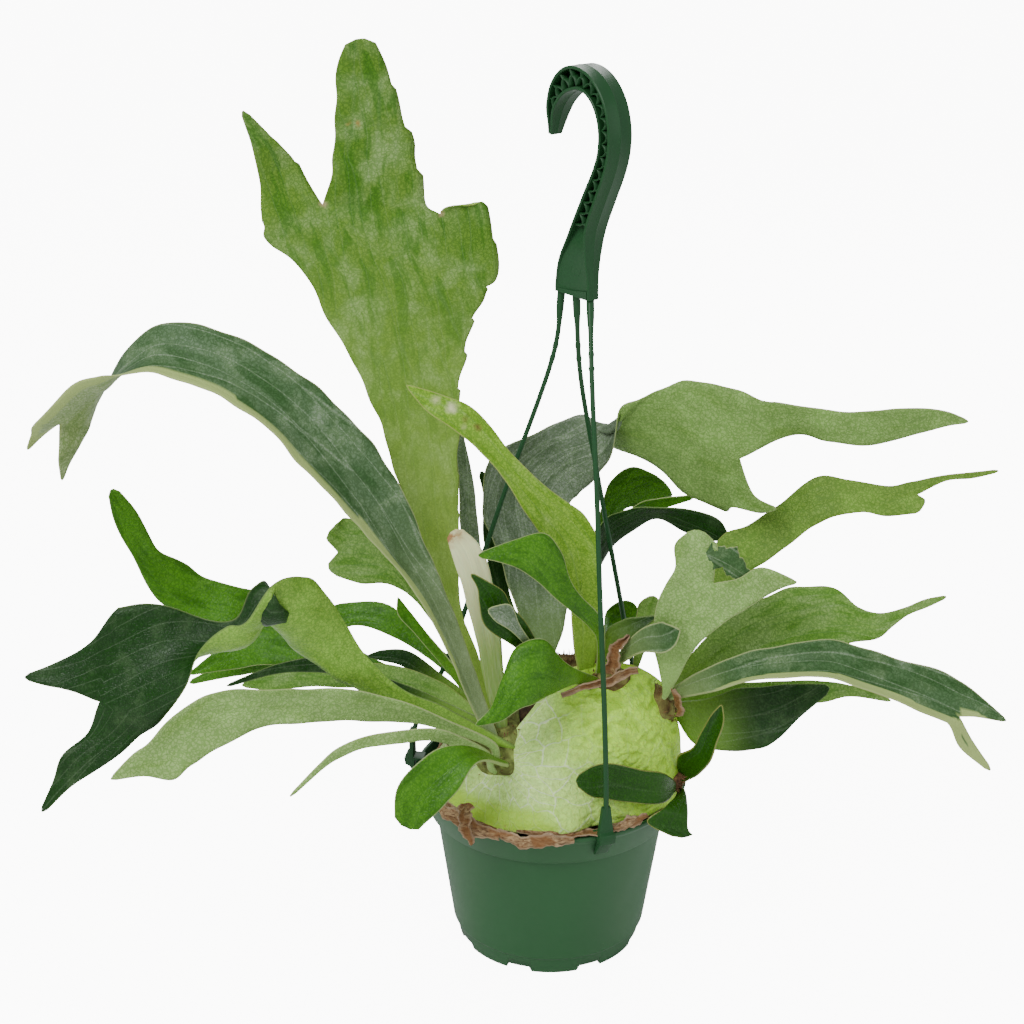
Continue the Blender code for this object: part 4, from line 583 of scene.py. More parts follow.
def ribbon(left, right, across, cup, lead=(None, None)):
    """Rows of points between two margins; a positive cup sinks the middle."""
    left, right = np.asarray(left, float), np.asarray(right, float)
    spans = np.linalg.norm(np.diff((left + right) / 2, axis=0), axis=1)
    steps = np.maximum(1, np.round(spans / ROW_STEP)).astype(int) * FINE_ROWS
    cup = np.resize(cup, len(left)) if len(cup) == 1 else np.asarray(cup, float)
    depth = along(np.column_stack([cup, cup, cup]), steps)[:, :1]
    left = along(left, steps, lead[0])
    right = along(right, steps, lead[1])
    run = np.gradient((left + right) / 2, axis=0)
    normal = unit(np.cross(right - left, run))
    width = np.linalg.norm(right - left, axis=1, keepdims=True)
    rows = left[:, None] * (1 - across)[:, None] + right[:, None] * across[:, None]
    sag = (4 * across * (1 - across))[None, :, None]
    return rows - (normal * width * depth)[:, None, :] * sag


def ragged(rows, tip, teeth=0.0):
    """Rows of a blade with gently uneven margins and, on a free tip, rounded corners.

    A margin wanders by a sum of two sines of the run, stilled at both ends, and the
    right one may have teeth, a sawtooth of the run.  A tip narrows as a rounded square:
    share of width = (1 - (1 - d / r) ^ 3) ^ (1 / 3).
    """
    middle = rows.mean(axis=1, keepdims=True)
    width = np.linalg.norm(rows[:, -1] - rows[:, 0], axis=1)
    run = run_along(middle[:, 0])
    still = np.sqrt(np.clip(np.sin(np.pi * run / run[-1]), 0, 1))
    place = np.linspace(-1, 1, rows.shape[1])
    reach = np.zeros(rows.shape[:2])
    for side in (-1, 1):
        seed = rows[0, 0] @ (0.31, 0.17, 0.23) + 2 * side
        wander = np.sin(run / 6.1 + seed) + 0.7 * np.sin(run / 3.4 + 2 * seed)
        reach += np.clip(place * side, 0, 1) ** 3 * (wander * still * MARGIN_WANDER)[:, None]
    saw = (run / TOOTH_PITCH) % 1 - 0.5
    reach += np.clip(place, 0, 1) ** 3 * (teeth * still * saw)[:, None]
    rows = middle + (rows - middle) * (1 + reach)[..., None]
    if tip:
        corner = max(0.2 * width[-1], 1.5)
        near = np.clip((run[-1] - run) / corner, 0.02, 1)
        rows = middle + (rows - middle) * (1 - (1 - near) ** 3)[:, None, None] ** (1 / 3)
    return rows


def stalk_foot(spec):
    """Foot of a stalk: the middle of the first station, its height over the dome."""
    middle = np.array(spec["blade"][0][:3], float)
    outward = middle - np.array([0, 0, DOME_Z])
    direction = unit(outward)
    return middle, direction, np.linalg.norm(outward) - float(dome_radius(direction))


def with_root(spec):
    """The frond's margins with one more station, down in the crown's slot."""
    middle, direction, height = stalk_foot(spec)
    depth = min(ROOT_DEPTH, max(height - CROWN_FLOOR, 1.0))
    left, right = margins(spec["blade"])
    start = unit((left[1] + right[1]) / 2 - middle)
    inward = unit(direction + ROOT_LEAN * start) * depth
    feet = [middle + (side[0] - middle) * ROOT_TAPER - inward for side in (left, right)]
    cup = spec.get("cup", (0.0,))
    cup = cup if len(cup) == 1 else (cup[0], *cup)
    return np.vstack([feet[0], left]), np.vstack([feet[1], right]), cup


def frond_sheet(spec):
    """Middle surface of a frond with its marks.

    The marks are the run along it, the offset across it and the distance to the
    nearest margin, all in millimetres.
    """
    left, right, cup = with_root(spec)
    lobes = spec.get("lobes", ())
    knots = [left[-1], *np.array(spec.get("notches", ()), float).reshape(-1, 3), right[-1]]
    side = right[-1] - left[-1]
    share = [float(np.clip((k - left[-1]) @ side / (side @ side), 0, 1)) for k in knots]
    share[0], share[-1] = 0.0, 1.0
    parts = len(knots) - 1
    columns = FINE_COLUMNS if parts == 1 else FINE_COLUMNS // 2 + 2
    across = np.concatenate([np.linspace(share[i], share[i + 1], columns + 1)[:-1]
                             for i in range(parts)] + [[1.0]])
    teeth = spec.get("teeth", 0.0)
    rows = ragged(ribbon(left, right, across, cup), not lobes, teeth / 2)
    if lobes:
        ends = [knots[i] - rows[-1, columns * i] for i in range(parts + 1)]
        pull = np.stack([np.interp(across, share, [e[k] for e in ends]) for k in range(3)], -1)
        coarse = (len(rows) - 1) // FINE_ROWS
        reach = min(3, coarse)
        place = np.arange(len(rows)) / FINE_ROWS
        ease = np.clip((place - coarse + reach) / reach, 0, 1) ** 2
        rows = rows + pull[None] * ease[:, None, None]
    count = rows.shape[0] * rows.shape[1]
    index = np.arange(count).reshape(rows.shape[:2])
    width = np.linalg.norm(rows[:, -1] - rows[:, 0], axis=1)[:, None]
    run = run_along(rows.mean(axis=1))[:, None] + 0 * across
    off = (across - 0.5) * width
    edge = np.minimum(across, 1 - across) * width
    for i in range(1, parts):
        edge[-1, columns * i] = 0
    points, quads, marks = [rows.reshape(-1, 3)], [grid_faces(index)], []
    marks.append(np.stack([run, off, edge], -1).reshape(-1, 3))
    for i, lobe in enumerate(lobes):
        low, high = margins(lobe, (left[-1] + right[-1]) / 2)
        low, high = np.vstack([knots[i], low]), np.vstack([knots[i + 1], high])
        lead = (left[-2] if i == 0 else None, right[-2] if i == parts - 1 else None)
        local = np.linspace(0, 1, columns + 1)
        tongue = ragged(ribbon(low, high, local, (0.0,), lead), True, teeth)
        root = rows[-1, columns * i:columns * (i + 1) + 1]
        fade = np.linspace(1, 0, len(tongue)) ** 2
        tongue = tongue + (root - tongue[0])[None] * fade[:, None, None]
        fresh = tongue[1:]
        numbers = np.arange(count, count + fresh.shape[0] * fresh.shape[1])
        numbers = numbers.reshape(fresh.shape[:2])
        joined = np.vstack([index[-1, columns * i:columns * (i + 1) + 1], numbers])
        quads.append(grid_faces(joined))
        points.append(fresh.reshape(-1, 3))
        wide = np.linalg.norm(fresh[:, -1] - fresh[:, 0], axis=1)[:, None]
        further = run[-1, 0] + run_along(tongue.mean(axis=1))[1:, None] + 0 * local
        middle = np.interp(0.5 * (share[i] + share[i + 1]), across, off[-1])
        marks.append(np.stack([further, middle + (local - 0.5) * wide,
                               np.minimum(local, 1 - local) * wide], -1).reshape(-1, 3))
        count += fresh.shape[0] * fresh.shape[1]
    return np.vstack(points), np.vstack(quads), np.vstack(marks)


def thick_sheet(points, quads, thickness):
    """Closed sheet about a middle surface; the first half of its points is the top."""
    normal = vertex_normals(points, quads) * (thickness / 2)[:, None]
    count = len(points)
    faces = np.vstack([quads, quads[:, ::-1] + count, border_walls(quads, count)])
    return np.vstack([points + normal, points - normal]), faces


def add_frond(name, spec, look):
    """An antler frond: thin at its margins, faintly pleated, on a stouter stalk."""
    points, quads, marks = frond_sheet(dict(spec, teeth=TEETH.get(name, 0.0)))
    run, off, edge = marks.T
    slim = np.exp(-(run / STALK_LENGTH) ** 2)
    body = BLADE_THICKNESS + (STALK_THICKNESS - BLADE_THICKNESS) * slim
    rim = np.clip(edge / (1.2 + 1.6 * slim), 0, 1)
    thickness = body * (0.4 + 0.6 * np.sqrt(1 - (1 - rim) ** 2))
    normal = vertex_normals(points, quads)
    blade = 1 - slim
    pleat = PLEAT_HEIGHT * np.sin(off * 1.1 + 0.6 * np.sin(run / 23)) * np.clip(edge / 6, 0, 1)
    ruffle = RUFFLE_HEIGHT * np.sin(run / 9.0 + off * 0.09) * np.exp(-(edge / 5) ** 2)
    points = points + normal * ((pleat + ruffle) * blade)[:, None]
    solid, faces = thick_sheet(points, quads, thickness)
    under = np.repeat([0.0, 1.0], len(points))
    side, width, start = FOLDED_LIPS.get(name, (0, 1.0, 0.0))
    lip = (side * off > 0) & (edge < width * np.sqrt(np.clip((run - start) / 90, 0, 1)))
    lip = np.where(side == 0, 0.0, lip * 1.0)
    values = {"run": np.tile(run, 2), "off": np.tile(off, 2), "edge": np.tile(edge, 2),
              "under": under, "lip": np.tile(lip, 2)}
    return add_piece("leaf_" + name[6:], solid, faces, look, (name,),
                     values)


# ---- root ball, rhizome and shields ----

def ball_noise(direction, waves, seed):
    """Smooth lumps on a ball: a sum of plane waves with random headings, about -1 to 1."""
    rng = np.random.default_rng(seed)
    total = np.zeros(direction.shape[:-1])
    for wave in waves:
        for _ in range(6):
            way = unit(rng.normal(size=3))
            total += np.sin(direction @ way * wave + rng.uniform(0, 6.28)) / math.sqrt(wave)
    return total * math.sqrt(waves[0]) / (2.2 * len(waves))


def add_root_ball(look):
    """Potting mix: a plug inside the pot under a lumpy dome of bark and fibre."""
    a = np.arange(BALL_SIDES) * 360 / BALL_SIDES
    low = ((FOOT_RADIUS - WALL - 1.2, FLOOR_Z + 0.3), (WALL_FOOT_RADIUS - WALL - 1.0, 13.2),
           (WALL_TOP_RADIUS - WALL - 1.4, COLLAR_FOOT_Z - 3), (67.6, 97.0))
    rings = [heading(a, 0.0 * a) * r + (0, 0, z) for r, z in low]
    elevation = np.linspace(2, 88.5, BALL_ROWS)[:, None]
    direction = heading(a + 0 * elevation, elevation + 0 * a)
    lumps = ball_noise(direction, (18, 37, 71), 3)
    dome = on_dome(direction, -0.7 + 0.6 * lumps)
    points = np.vstack([np.array(rings).reshape(-1, 3), dome.reshape(-1, 3)])
    faces = ring_faces(len(points), BALL_SIDES)
    add_piece("mix_ball", points, faces, look, ("root_ball",))


def crown_patch(spec, feet):
    """Rhizome patch on the dome, higher round each frond's foot, as in the part."""
    middle = heading(*spec["middle"])
    side = unit(np.cross([0, 0, 1.0], middle))
    up = np.cross(middle, side)
    turn = math.radians(spec["turn"])
    first = side * math.cos(turn) + up * math.sin(turn)
    second = up * math.cos(turn) - side * math.sin(turn)
    share = np.linspace(0.02, 1, CROWN_RINGS)[:, None]
    angle = np.arange(CROWN_SPOKES) * 2 * math.pi / CROWN_SPOKES
    reach = np.array(spec["reach"]) / float(dome_radius(middle))
    wobble = 1 + 0.08 * np.sin(3 * angle + 1.0) + 0.05 * np.sin(7 * angle)
    spread = (share * (np.cos(angle) * reach[0] * wobble))[..., None] * first
    spread = spread + (share * (np.sin(angle) * reach[1] * wobble))[..., None] * second
    direction = unit(middle + spread)
    ground = on_dome(direction, np.zeros(direction.shape[:2]))
    weight = np.full(direction.shape[:2], CROWN_CALM)
    total = weight * CROWN_EDGE
    for foot, _, height in feet:
        aside = np.sum((ground - foot) ** 2, axis=-1) - height ** 2
        near = np.exp(-np.maximum(aside, 0) / CROWN_SLOPE ** 2)
        weight = weight + near
        total = total + near * (abs(height) + CROWN_LIP)
    height = total / weight
    height = CROWN_EDGE + (height - CROWN_EDGE) * (1 - share ** 6)
    rough = ball_noise(direction, (45, 90, 150), 11)
    height = height - 0.4 + 0.9 * rough * np.clip((1 - share) * 6, 0, 1)
    top = on_dome(direction, height)
    skirt = on_dome(direction[-1], np.full(CROWN_SPOKES, CROWN_BASE - 1.2))
    points = np.vstack([top.reshape(-1, 3), skirt])
    return points, ring_faces(len(points), CROWN_SPOKES, flip=True), top, direction


def add_crown(name, spec, look, hair_look, fronds, count):
    """A crown of rhizome, felted with the pointed brown scales that cover it."""
    feet = [stalk_foot(frond) for frond in fronds.values() if frond["crown"] == name]
    points, faces, top, direction = crown_patch(spec, feet)
    add_piece("rhizome_" + name[6:], points, faces, look, (name,))
    rng = np.random.default_rng(count)
    ring = rng.integers(4, top.shape[0], count)
    spoke = rng.integers(0, top.shape[1], count)
    root, out = top[ring, spoke], direction[ring, spoke]
    lean = unit(out + rng.normal(size=(count, 3)) * SCALE_SCATTER)
    side = unit(np.cross(lean, rng.normal(size=(count, 3))))
    long = rng.uniform(*SCALE_LENGTHS, count)[:, None]
    wide = rng.uniform(*SCALE_HALF_WIDTHS, count)[:, None]
    tip = root + lean * long + out * 0.4
    middle = root + lean * long * 0.5
    scale = np.stack([root - out * 0.6, middle - side * wide, tip, middle + side * wide], 1)
    scales = scale.reshape(-1, 3)
    quads = np.arange(count * 4).reshape(-1, 4)
    add_piece("scales_" + name[6:], scales, quads, hair_look, (), smooth=False)


def shield_flare(spec, azimuth, elevation):
    """How far a shield stands out over the rim, with calm places at the clips."""
    fold = FOLD_DEPTH * np.sin(np.radians(azimuth) * FOLDS)
    clip_room = np.ones_like(azimuth)
    for clip in (FRONT_CLIP, BACK_CLIP, LEFT_CLIP, LEFT_CLIP - 360):
        clip_room = clip_room * (1 - np.exp(-((azimuth - clip) / CLIP_SHADOW) ** 2))
    flare = np.interp(azimuth, *np.array(spec["flare"], float).T) * clip_room + fold
    return flare * np.exp(-(np.maximum(elevation - FLARE_ELEVATION, 0) / FLARE_FADE) ** 2)


def add_shield(name, spec, look):
    """A shield frond: a thin sheet that hugs the dome and flares over the rim."""
    low, high = np.array(spec["lower"], float), np.array(spec["upper"], float)
    azimuth = np.linspace(low[0, 0], low[-1, 0], SHIELD_COLUMNS)
    share = np.linspace(0, 1, SHIELD_ROWS)[:, None]
    elevation = np.interp(azimuth, *low.T) * (1 - share) + np.interp(azimuth, *high.T) * share
    frill = FRILL[name] * ball_noise(heading(azimuth, 0 * azimuth), (26, 47, 95), 8)
    elevation = elevation + frill * (share ** 4 - (1 - share) ** 4)
    direction = heading(azimuth + 0 * elevation, elevation)
    swell = 0.35 * ball_noise(direction, (9, 17), 5) + 0.12 * ball_noise(direction, (40,), 6)
    lift = spec["lift"] + swell * np.minimum(1, 6 * share * (1 - share))
    if name == "shield_front":
        lift = lift + np.interp(azimuth, *np.array(CREST, float).T) * share ** 3
    sheet = on_dome(direction, lift)
    outward = unit(direction * (1, 1, 0))
    flare = shield_flare(spec, azimuth, elevation)
    points = (sheet + outward * flare[..., None]).reshape(-1, 3)
    index = np.arange(elevation.size).reshape(elevation.shape)
    quads = grid_faces(index)
    rise = share * (np.interp(azimuth, *high.T) - np.interp(azimuth, *low.T))
    edge = np.minimum(rise, (1 - share) / np.maximum(share, 1e-6) * rise) * 1.25
    thickness = SHIELD_THICKNESS * (0.45 + 0.55 * np.clip(edge / 2, 0, 1)).ravel()
    solid, faces = thick_sheet(points, quads, thickness)
    spread = points - np.array(VEIN_SOURCE)
    fan = np.arctan2(spread[:, 2], spread[:, 0])
    marks = {"around": np.tile((azimuth + 0 * share).ravel(), 2), "fan": np.tile(fan, 2),
             "reach": np.tile(np.linalg.norm(spread, axis=1), 2),
             "rise": np.tile(elevation.ravel(), 2), "edge": np.tile(edge.ravel(), 2),
             "under": np.repeat([0.0, 1.0], len(points))}
    add_piece("sheet_" + name, solid, faces, look, (name,), marks)


def add_flake(name, spec, look):
    """A torn flake of an old shield: a strip along a path, bent to an arc across, with
    ragged margins (sums of sines) and a crumpled face (noise by direction)."""
    path, widths, cross, curl = spec
    line = along(path, [FLAKE_STEPS] * (len(path) - 1))
    share = np.linspace(0, 1, len(line))
    width = np.interp(share, np.linspace(0, 1, len(widths)), widths)
    place = np.linspace(-1, 1, FLAKE_COLUMNS)
    torn = 1 + 0.26 * np.sin(share * 11 + len(name)) + 0.14 * np.sin(share * 29 + 1.0)
    torn = torn + 0.05 * np.sin(share * 73)
    reach = (width / 2)[:, None] * place * np.where(place > 0, torn[:, None], 1.9 - torn[:, None])
    tangent = unit(np.gradient(line, axis=0))
    side = unit(np.array(cross, float) - tangent * (tangent @ np.array(cross))[:, None])
    face = np.cross(tangent, side)
    bow = curl * (1 - place ** 2) + 0.5 * np.sin(9 * share[:, None] + 4 * place)
    points = line[:, None] + side[:, None] * reach[..., None] + face[:, None] * bow[..., None]
    quads = grid_faces(np.arange(reach.size).reshape(reach.shape))
    edge = (1 - np.abs(place)) * (width / 2)[:, None]
    solid, faces = thick_sheet(points.reshape(-1, 3), quads, np.full(edge.size, FLAKE_THICKNESS))
    run = 60 + 30 * share[:, None] + 0 * reach
    add_piece("flake_" + name, solid, faces, look, (),
              {"edge": np.tile(edge.ravel(), 2), "run": np.tile(run.ravel(), 2),
               "off": np.tile(reach.ravel(), 2)})


# ---- pot and hanger ----

def collar_radius(z):
    """Outer radius of the flared collar at a height."""
    share = (z - COLLAR_FOOT_Z) / (POT_HEIGHT - COLLAR_FOOT_Z)
    return COLLAR_FOOT_RADIUS + (RIM_RADIUS - COLLAR_FOOT_RADIUS) * share


def rounded(profile, radius):
    """A profile with each inner corner cut by a short arc."""
    profile = np.array(profile, float)
    made = [profile[0]]
    for before, corner, after in zip(profile, profile[1:], profile[2:]):
        back, on = unit(before - corner), unit(after - corner)
        size = min(radius, 0.45 * np.linalg.norm(before - corner),
                   0.45 * np.linalg.norm(after - corner))
        for t in (0.0, 0.33, 0.67, 1.0):
            made.append(corner + back * size * (1 - t) ** 2 + on * size * t ** 2)
    made.append(profile[-1])
    return np.array(made)


def turned(profile, sides):
    """Points and faces of a turned body whose profile starts and ends on the axis."""
    angle = np.arange(sides) * 2 * math.pi / sides
    inner = profile[1:-1]
    rings = np.stack([inner[:, :1] * np.sin(angle), -inner[:, :1] * np.cos(angle),
                      np.repeat(inner[:, 1:], sides, axis=1)], axis=-1).reshape(-1, 3)
    return rings, ring_faces(len(rings), sides)


def add_pot(look):
    """The pot: foot ring with drain slots, tapered wall, flared collar, soft corners."""
    inside = COLLAR_FOOT_Z + 2.0
    profile = ((0, 0), (PAD_RADIUS, 0), (PAD_RADIUS + 0.6, FLOOR_Z - WALL),
               (FOOT_INNER_RADIUS, FLOOR_Z - WALL),
               (FOOT_INNER_RADIUS, 0), (FOOT_RADIUS, 0),
               (FOOT_RADIUS + 2.6, FOOT_TOP_Z - 1.0), (WALL_FOOT_RADIUS, FOOT_TOP_Z),
               (WALL_TOP_RADIUS, COLLAR_FOOT_Z), (COLLAR_FOOT_RADIUS, COLLAR_FOOT_Z + 0.6),
               (collar_radius(BEAD_FOOT_Z), BEAD_FOOT_Z), (RIM_RADIUS, POT_HEIGHT - 2.4),
               (RIM_RADIUS, POT_HEIGHT - 0.5), (RIM_RADIUS - 0.6, POT_HEIGHT),
               (RIM_RADIUS - 2.2, POT_HEIGHT), (collar_radius(BEAD_FOOT_Z) - WALL, BEAD_FOOT_Z),
               (collar_radius(inside) - WALL - 0.4, inside),
               (WALL_TOP_RADIUS - WALL, COLLAR_FOOT_Z - 1.5),
               (WALL_FOOT_RADIUS - WALL, FOOT_TOP_Z), (FOOT_RADIUS - WALL, FLOOR_Z),
               (0, FLOOR_Z))
    points, faces = turned(rounded(profile, SOFT_CORNER), POT_SIDES)
    pot = add_piece("shell_pot", points, faces, look, ("pot",))
    pot.data.set_sharp_from_angle(angle=math.radians(50))
    corners, boxes = [], []
    for k in range(NOTCHES):
        out = heading(NOTCH_FIRST + 360 / NOTCHES * k, 0)
        side = np.array([-out[1], out[0], 0])
        start = len(corners)
        corners += [out * r + side * s * w / 2 + np.array([0, 0, z])
                    for r in (FOOT_INNER_RADIUS - 3, FOOT_RADIUS + 6)
                    for z, w in ((-1.0, NOTCH_WIDTH[0]), (NOTCH_HEIGHT, NOTCH_WIDTH[1]))
                    for s in (-1, 1)]
        box = ((0, 1, 3, 2), (4, 6, 7, 5), (0, 4, 5, 1), (2, 3, 7, 6), (0, 2, 6, 4), (1, 5, 7, 3))
        boxes += [tuple(start + i for i in face[::-1]) for face in box]
    sides = DRAIN_SIDES
    for k in range(DRAIN_HOLES):
        middle = heading(NOTCH_FIRST + 30 + 360 / DRAIN_HOLES * k, 0) * DRAIN_RING
        turn = np.arange(sides) * 2 * math.pi / sides
        start = len(corners)
        ring = np.column_stack([np.cos(turn), np.sin(turn)]) * DRAIN_RADIUS + middle[:2]
        corners += [np.array([*p, z]) for z in DRAIN_SPAN for p in ring]
        boxes.append(tuple(start + i for i in range(sides - 1, -1, -1)))
        boxes.append(tuple(start + sides + i for i in range(sides)))
        boxes += [(start + i, start + (i + 1) % sides, start + sides + (i + 1) % sides,
                   start + sides + i) for i in range(sides)]
    cutter = add_piece("pot_cutter", corners, boxes, look, smooth=False)
    cut = pot.modifiers.new("drains", "BOOLEAN")
    cut.operation = "DIFFERENCE"
    cut.solver = "EXACT"
    cut.object = cutter
    bake(pot)
    bpy.data.objects.remove(cutter)


def bake(made):
    """Put an object's modifiers into its mesh."""
    bpy.context.view_layer.update()
    shown = made.evaluated_get(bpy.context.evaluated_depsgraph_get())
    mesh = bpy.data.meshes.new_from_object(shown)
    made.modifiers.clear()
    made.data = mesh


def hook_line(steps):
    """Stations of the hook in its plane: place, height, width across, depth through."""
    bow, count = HOOK_BOW, 15
    share = np.linspace(0, 1, count)
    angle = np.radians(bow["start"] + (bow["end"] - bow["start"]) * share)
    knots = np.linspace(0, 1, len(bow["widths"]))
    arc = np.column_stack([bow["middle"][0] + bow["reach"][0] * np.cos(angle),
                           bow["middle"][1] + bow["reach"][1] * np.sin(angle),
                           np.interp(share, knots, bow["widths"]),
                           np.interp(share, knots, bow["depths"])])
    line = np.vstack([np.array(HOOK_FOOT, float), arc, np.array(HOOK_TIP, float)])
    smooth = np.column_stack([along(line[:, :3], [steps] * (len(line) - 1)),
                              along(np.column_stack([line[:, 3:]] * 3),
                                    [steps] * (len(line) - 1))[:, :1]])
    return line, smooth


def hook_space():
    """Unit vectors of the hook: along its plane, and through it towards the front."""
    turn = math.radians(HOOK_TURN)
    return (np.array([math.cos(turn), -math.sin(turn), 0]),
            np.array([-math.sin(turn), -math.cos(turn), 0]))


def add_hook(look):
    """The hook: two flanges and a web, with soft edges and a fine parting line."""
    coarse, line = hook_line(5)
    run = unit(np.gradient(line[:, :2], axis=0))
    run[:6] = (0, 1)
    plane, through = hook_space()
    place = np.linspace(0, len(coarse) - 1, len(line))
    pocket = np.interp(place, (1.4, 1.7, 2.6, 4, 5, len(coarse) - 2.2, len(coarse) - 1.2),
                       (0.02, 0.3, 0.3, 0.55, 1, 1, 0.05))
    soft, seam = 0.5, 0.16
    rows = []
    for (a, z, width, depth), (step, rise), share in zip(line, run, pocket):
        half, deep = width / 2, depth / 2
        lip = max(half - HOOK_WALL, 0.4)
        web = deep - (deep - HOOK_WEB / 2) * share
        s0 = min(soft, (half - lip) * 0.4)
        outer = ((half - s0, deep), (half, deep - soft), (half, 0.35), (half + seam, 0.0),
                 (half, -0.35), (half, soft - deep), (half - s0, -deep))
        inner = ((lip + s0, -deep), (lip, s0 - deep), (lip - 0.15, -web - 0.1), (lip - 0.5, -web),
                 (0.4 - lip, -web), (0.1 - lip, -web - 0.1), (-lip, s0 - deep), (-lip - s0, -deep))
        other = tuple((-x, y) for x, y in outer[::-1])
        upper = tuple((-x, -y) for x, y in inner)
        section = (*outer, *inner, *other, *upper)
        rows.append([plane * (a + rise * s) + np.array([0, 0, z - step * s]) + through * d
                     for s, d in section])
    points = np.array(rows).reshape(-1, 3) + np.array([*HOOK_AXIS, 0])
    faces = ring_faces(len(points), len(section), flip=True)
    hook = add_piece("body_hook", points, faces, look, ("hanger_hook",))
    hook.data.set_sharp_from_angle(angle=math.radians(40))
    add_hook_ribs(look, line, run, pocket)


def add_hook_ribs(look, line, run, pocket):
    """Thin ribs that brace the pocket: a chain of arches along it, each with a stay from
    its crown to the far flange, on both sides.  An arch is a power of a half sine."""
    plane, through = hook_space()
    step = run_along(line[:, :2])
    open_part = np.where(pocket > 0.9)[0]
    start, end = step[open_part[0]] + 1, step[open_part[-1]] - 9
    cells = np.arange(start, end, RIB_PITCH)
    ribs = []
    t = np.linspace(0, 1, 13)
    for at in cells:
        ribs.append((at + RIB_PITCH * t, 1.25 * np.sin(math.pi * t) ** 0.7 - 1.0))
        ribs.append((at + RIB_PITCH * (0.5 + 0.1 * t), 0.25 + 0.75 * t))
    parts = []
    for s, w in ribs:
        a = np.interp(s, step, line[:, 0])
        z = np.interp(s, step, line[:, 1])
        half = np.maximum(np.interp(s, step, line[:, 2]) / 2 - HOOK_WALL + 0.2, 0.3)
        deep = np.interp(s, step, line[:, 3]) / 2
        ra, rz = np.interp(s, step, run[:, 0]), np.interp(s, step, run[:, 1])
        centre = np.column_stack([a + rz * w * half, z - ra * w * half])
        way = unit(np.gradient(centre, axis=0))
        aside = np.column_stack([way[:, 1], -way[:, 0]]) * RIB_THICKNESS / 2
        for face in (1, -1):
            quad = []
            for sign, level in ((1, 0.0), (1, 1.0), (-1, 1.0), (-1, 0.0)):
                flat = centre + sign * aside
                height = face * (HOOK_WEB / 2 - 0.3 + (deep - 0.8 - HOOK_WEB / 2) * level)
                quad.append(plane * flat[:, :1] + through * height[:, None]
                            + np.array([0, 0, 1.0]) * flat[:, 1:])
            ring = np.stack(quad, axis=1)[:, ::face]
            index = np.arange(ring.shape[0] * 4).reshape(-1, 4)
            index = np.column_stack([index, index[:, 0]])
            caps = np.array([index[0, :4][::-1], index[-1, :4]])
            parts.append((ring.reshape(-1, 3) + np.array([*HOOK_AXIS, 0]),
                          np.vstack([grid_faces(index), caps])))
    points, faces = join_meshes(parts)
    add_piece("ribs_hook", points, faces, look, (), smooth=False)
    turn = np.linspace(0, 2 * math.pi, 49)[:, None]
    ring = plane * (RING_MARK_RADIUS * np.cos(turn) + 0.5) + through * 3.0
    ring = ring + np.array([*HOOK_AXIS, RING_MARK_Z])
    rise = np.array([0, 0, RING_MARK_RADIUS]) * np.sin(turn)
    points, faces = tube(ring + rise, np.full(len(turn), 0.25), 8)
    add_piece("ring_hook", points, faces, look, ())


def tube(path, radius, sides=20):
    """Closed tube along a path, as points and a list of faces."""
    run = unit(np.gradient(path, axis=0))
    run[0] = (0, 0, -1)
    side = unit(np.cross(run, [0.3, 0.9, 0.1]))
    other = np.cross(run, side)
    angle = np.arange(sides) * 2 * math.pi / sides
    ring = (np.cos(angle)[None, :, None] * side[:, None] + np.sin(angle)[None, :, None]
            * other[:, None]) * np.asarray(radius)[:, None, None] + path[:, None]
    points = ring.reshape(-1, 3)
    return points, ring_faces(len(points), sides)


def add_strand(name, azimuth, route, look):
    """A strand, thick at its root, with moulding nubs, and the clip that grips the rim."""
    out = heading(azimuth, 0)
    end = out * STRAND_END_RADIUS + np.array([0, 0, STRAND_END_Z - 4.0])
    path = along([*route, end], [40] * len(route))
    far = run_along(path)
    radius = STRAND_RADIUS * (0.92 + 0.1 * far / far[-1])
    radius = radius + 0.85 * np.exp(-(far / 15) ** 4)
    for place in STRAND_NUBS:
        radius = radius + 0.45 * np.exp(-((far - place * far[-1]) / 0.8) ** 2)
    points, faces = tube(path, radius)
    strand = add_piece("line_" + name[7:], points, faces, look, (name,))
    strand.data.set_sharp_from_angle(angle=math.radians(60))
    rim_top = POT_HEIGHT + 0.4
    foot = CLIP_FOOT_Z
    outline = ((84.0, STRAND_END_Z + 2), (86.8, STRAND_END_Z + 2), (86.8, 113.0), (89.2, 112.0),
               (89.8, 110.2), (89.2, 106.2), (86.6, 104.4), (collar_radius(foot) + 2.8, foot),
               (collar_radius(foot) + 0.5, foot), (RIM_RADIUS + 0.8, POT_HEIGHT - 3.4),
               (RIM_RADIUS + 0.8, rim_top), (RIM_RADIUS - 2.9, rim_top),
               (RIM_RADIUS - 4.2, POT_HEIGHT - 3.0), (RIM_RADIUS - 5.4, POT_HEIGHT - 3.0),
               (RIM_RADIUS - 4.6, rim_top + 1.6), (84.0, rim_top + 1.8))
    side = np.array([-out[1], out[0], 0])
    count, half = len(outline), CLIP_WIDTH / 2
    corners = [out * r + np.array([0, 0, z])
               + side * s * np.interp(z, *CLIP_WAIST)
               for s in (-half, half) for r, z in outline]
    sides = [tuple(range(count)), tuple(range(2 * count - 1, count - 1, -1))]
    sides += [(i, i + count, (i + 1) % count + count, (i + 1) % count) for i in range(count)]
    clip = add_piece("clip_" + name[7:], corners, sides, look, (), smooth=False)
    soften = clip.modifiers.new("soft edges", "BEVEL")
    soften.width = 0.35 * MM
    soften.segments = 2
    soften.limit_method = "ANGLE"
    bake(clip)
    clip.data.shade_smooth()
    clip.data.set_sharp_from_angle(angle=math.radians(35))


# ---- materials ----

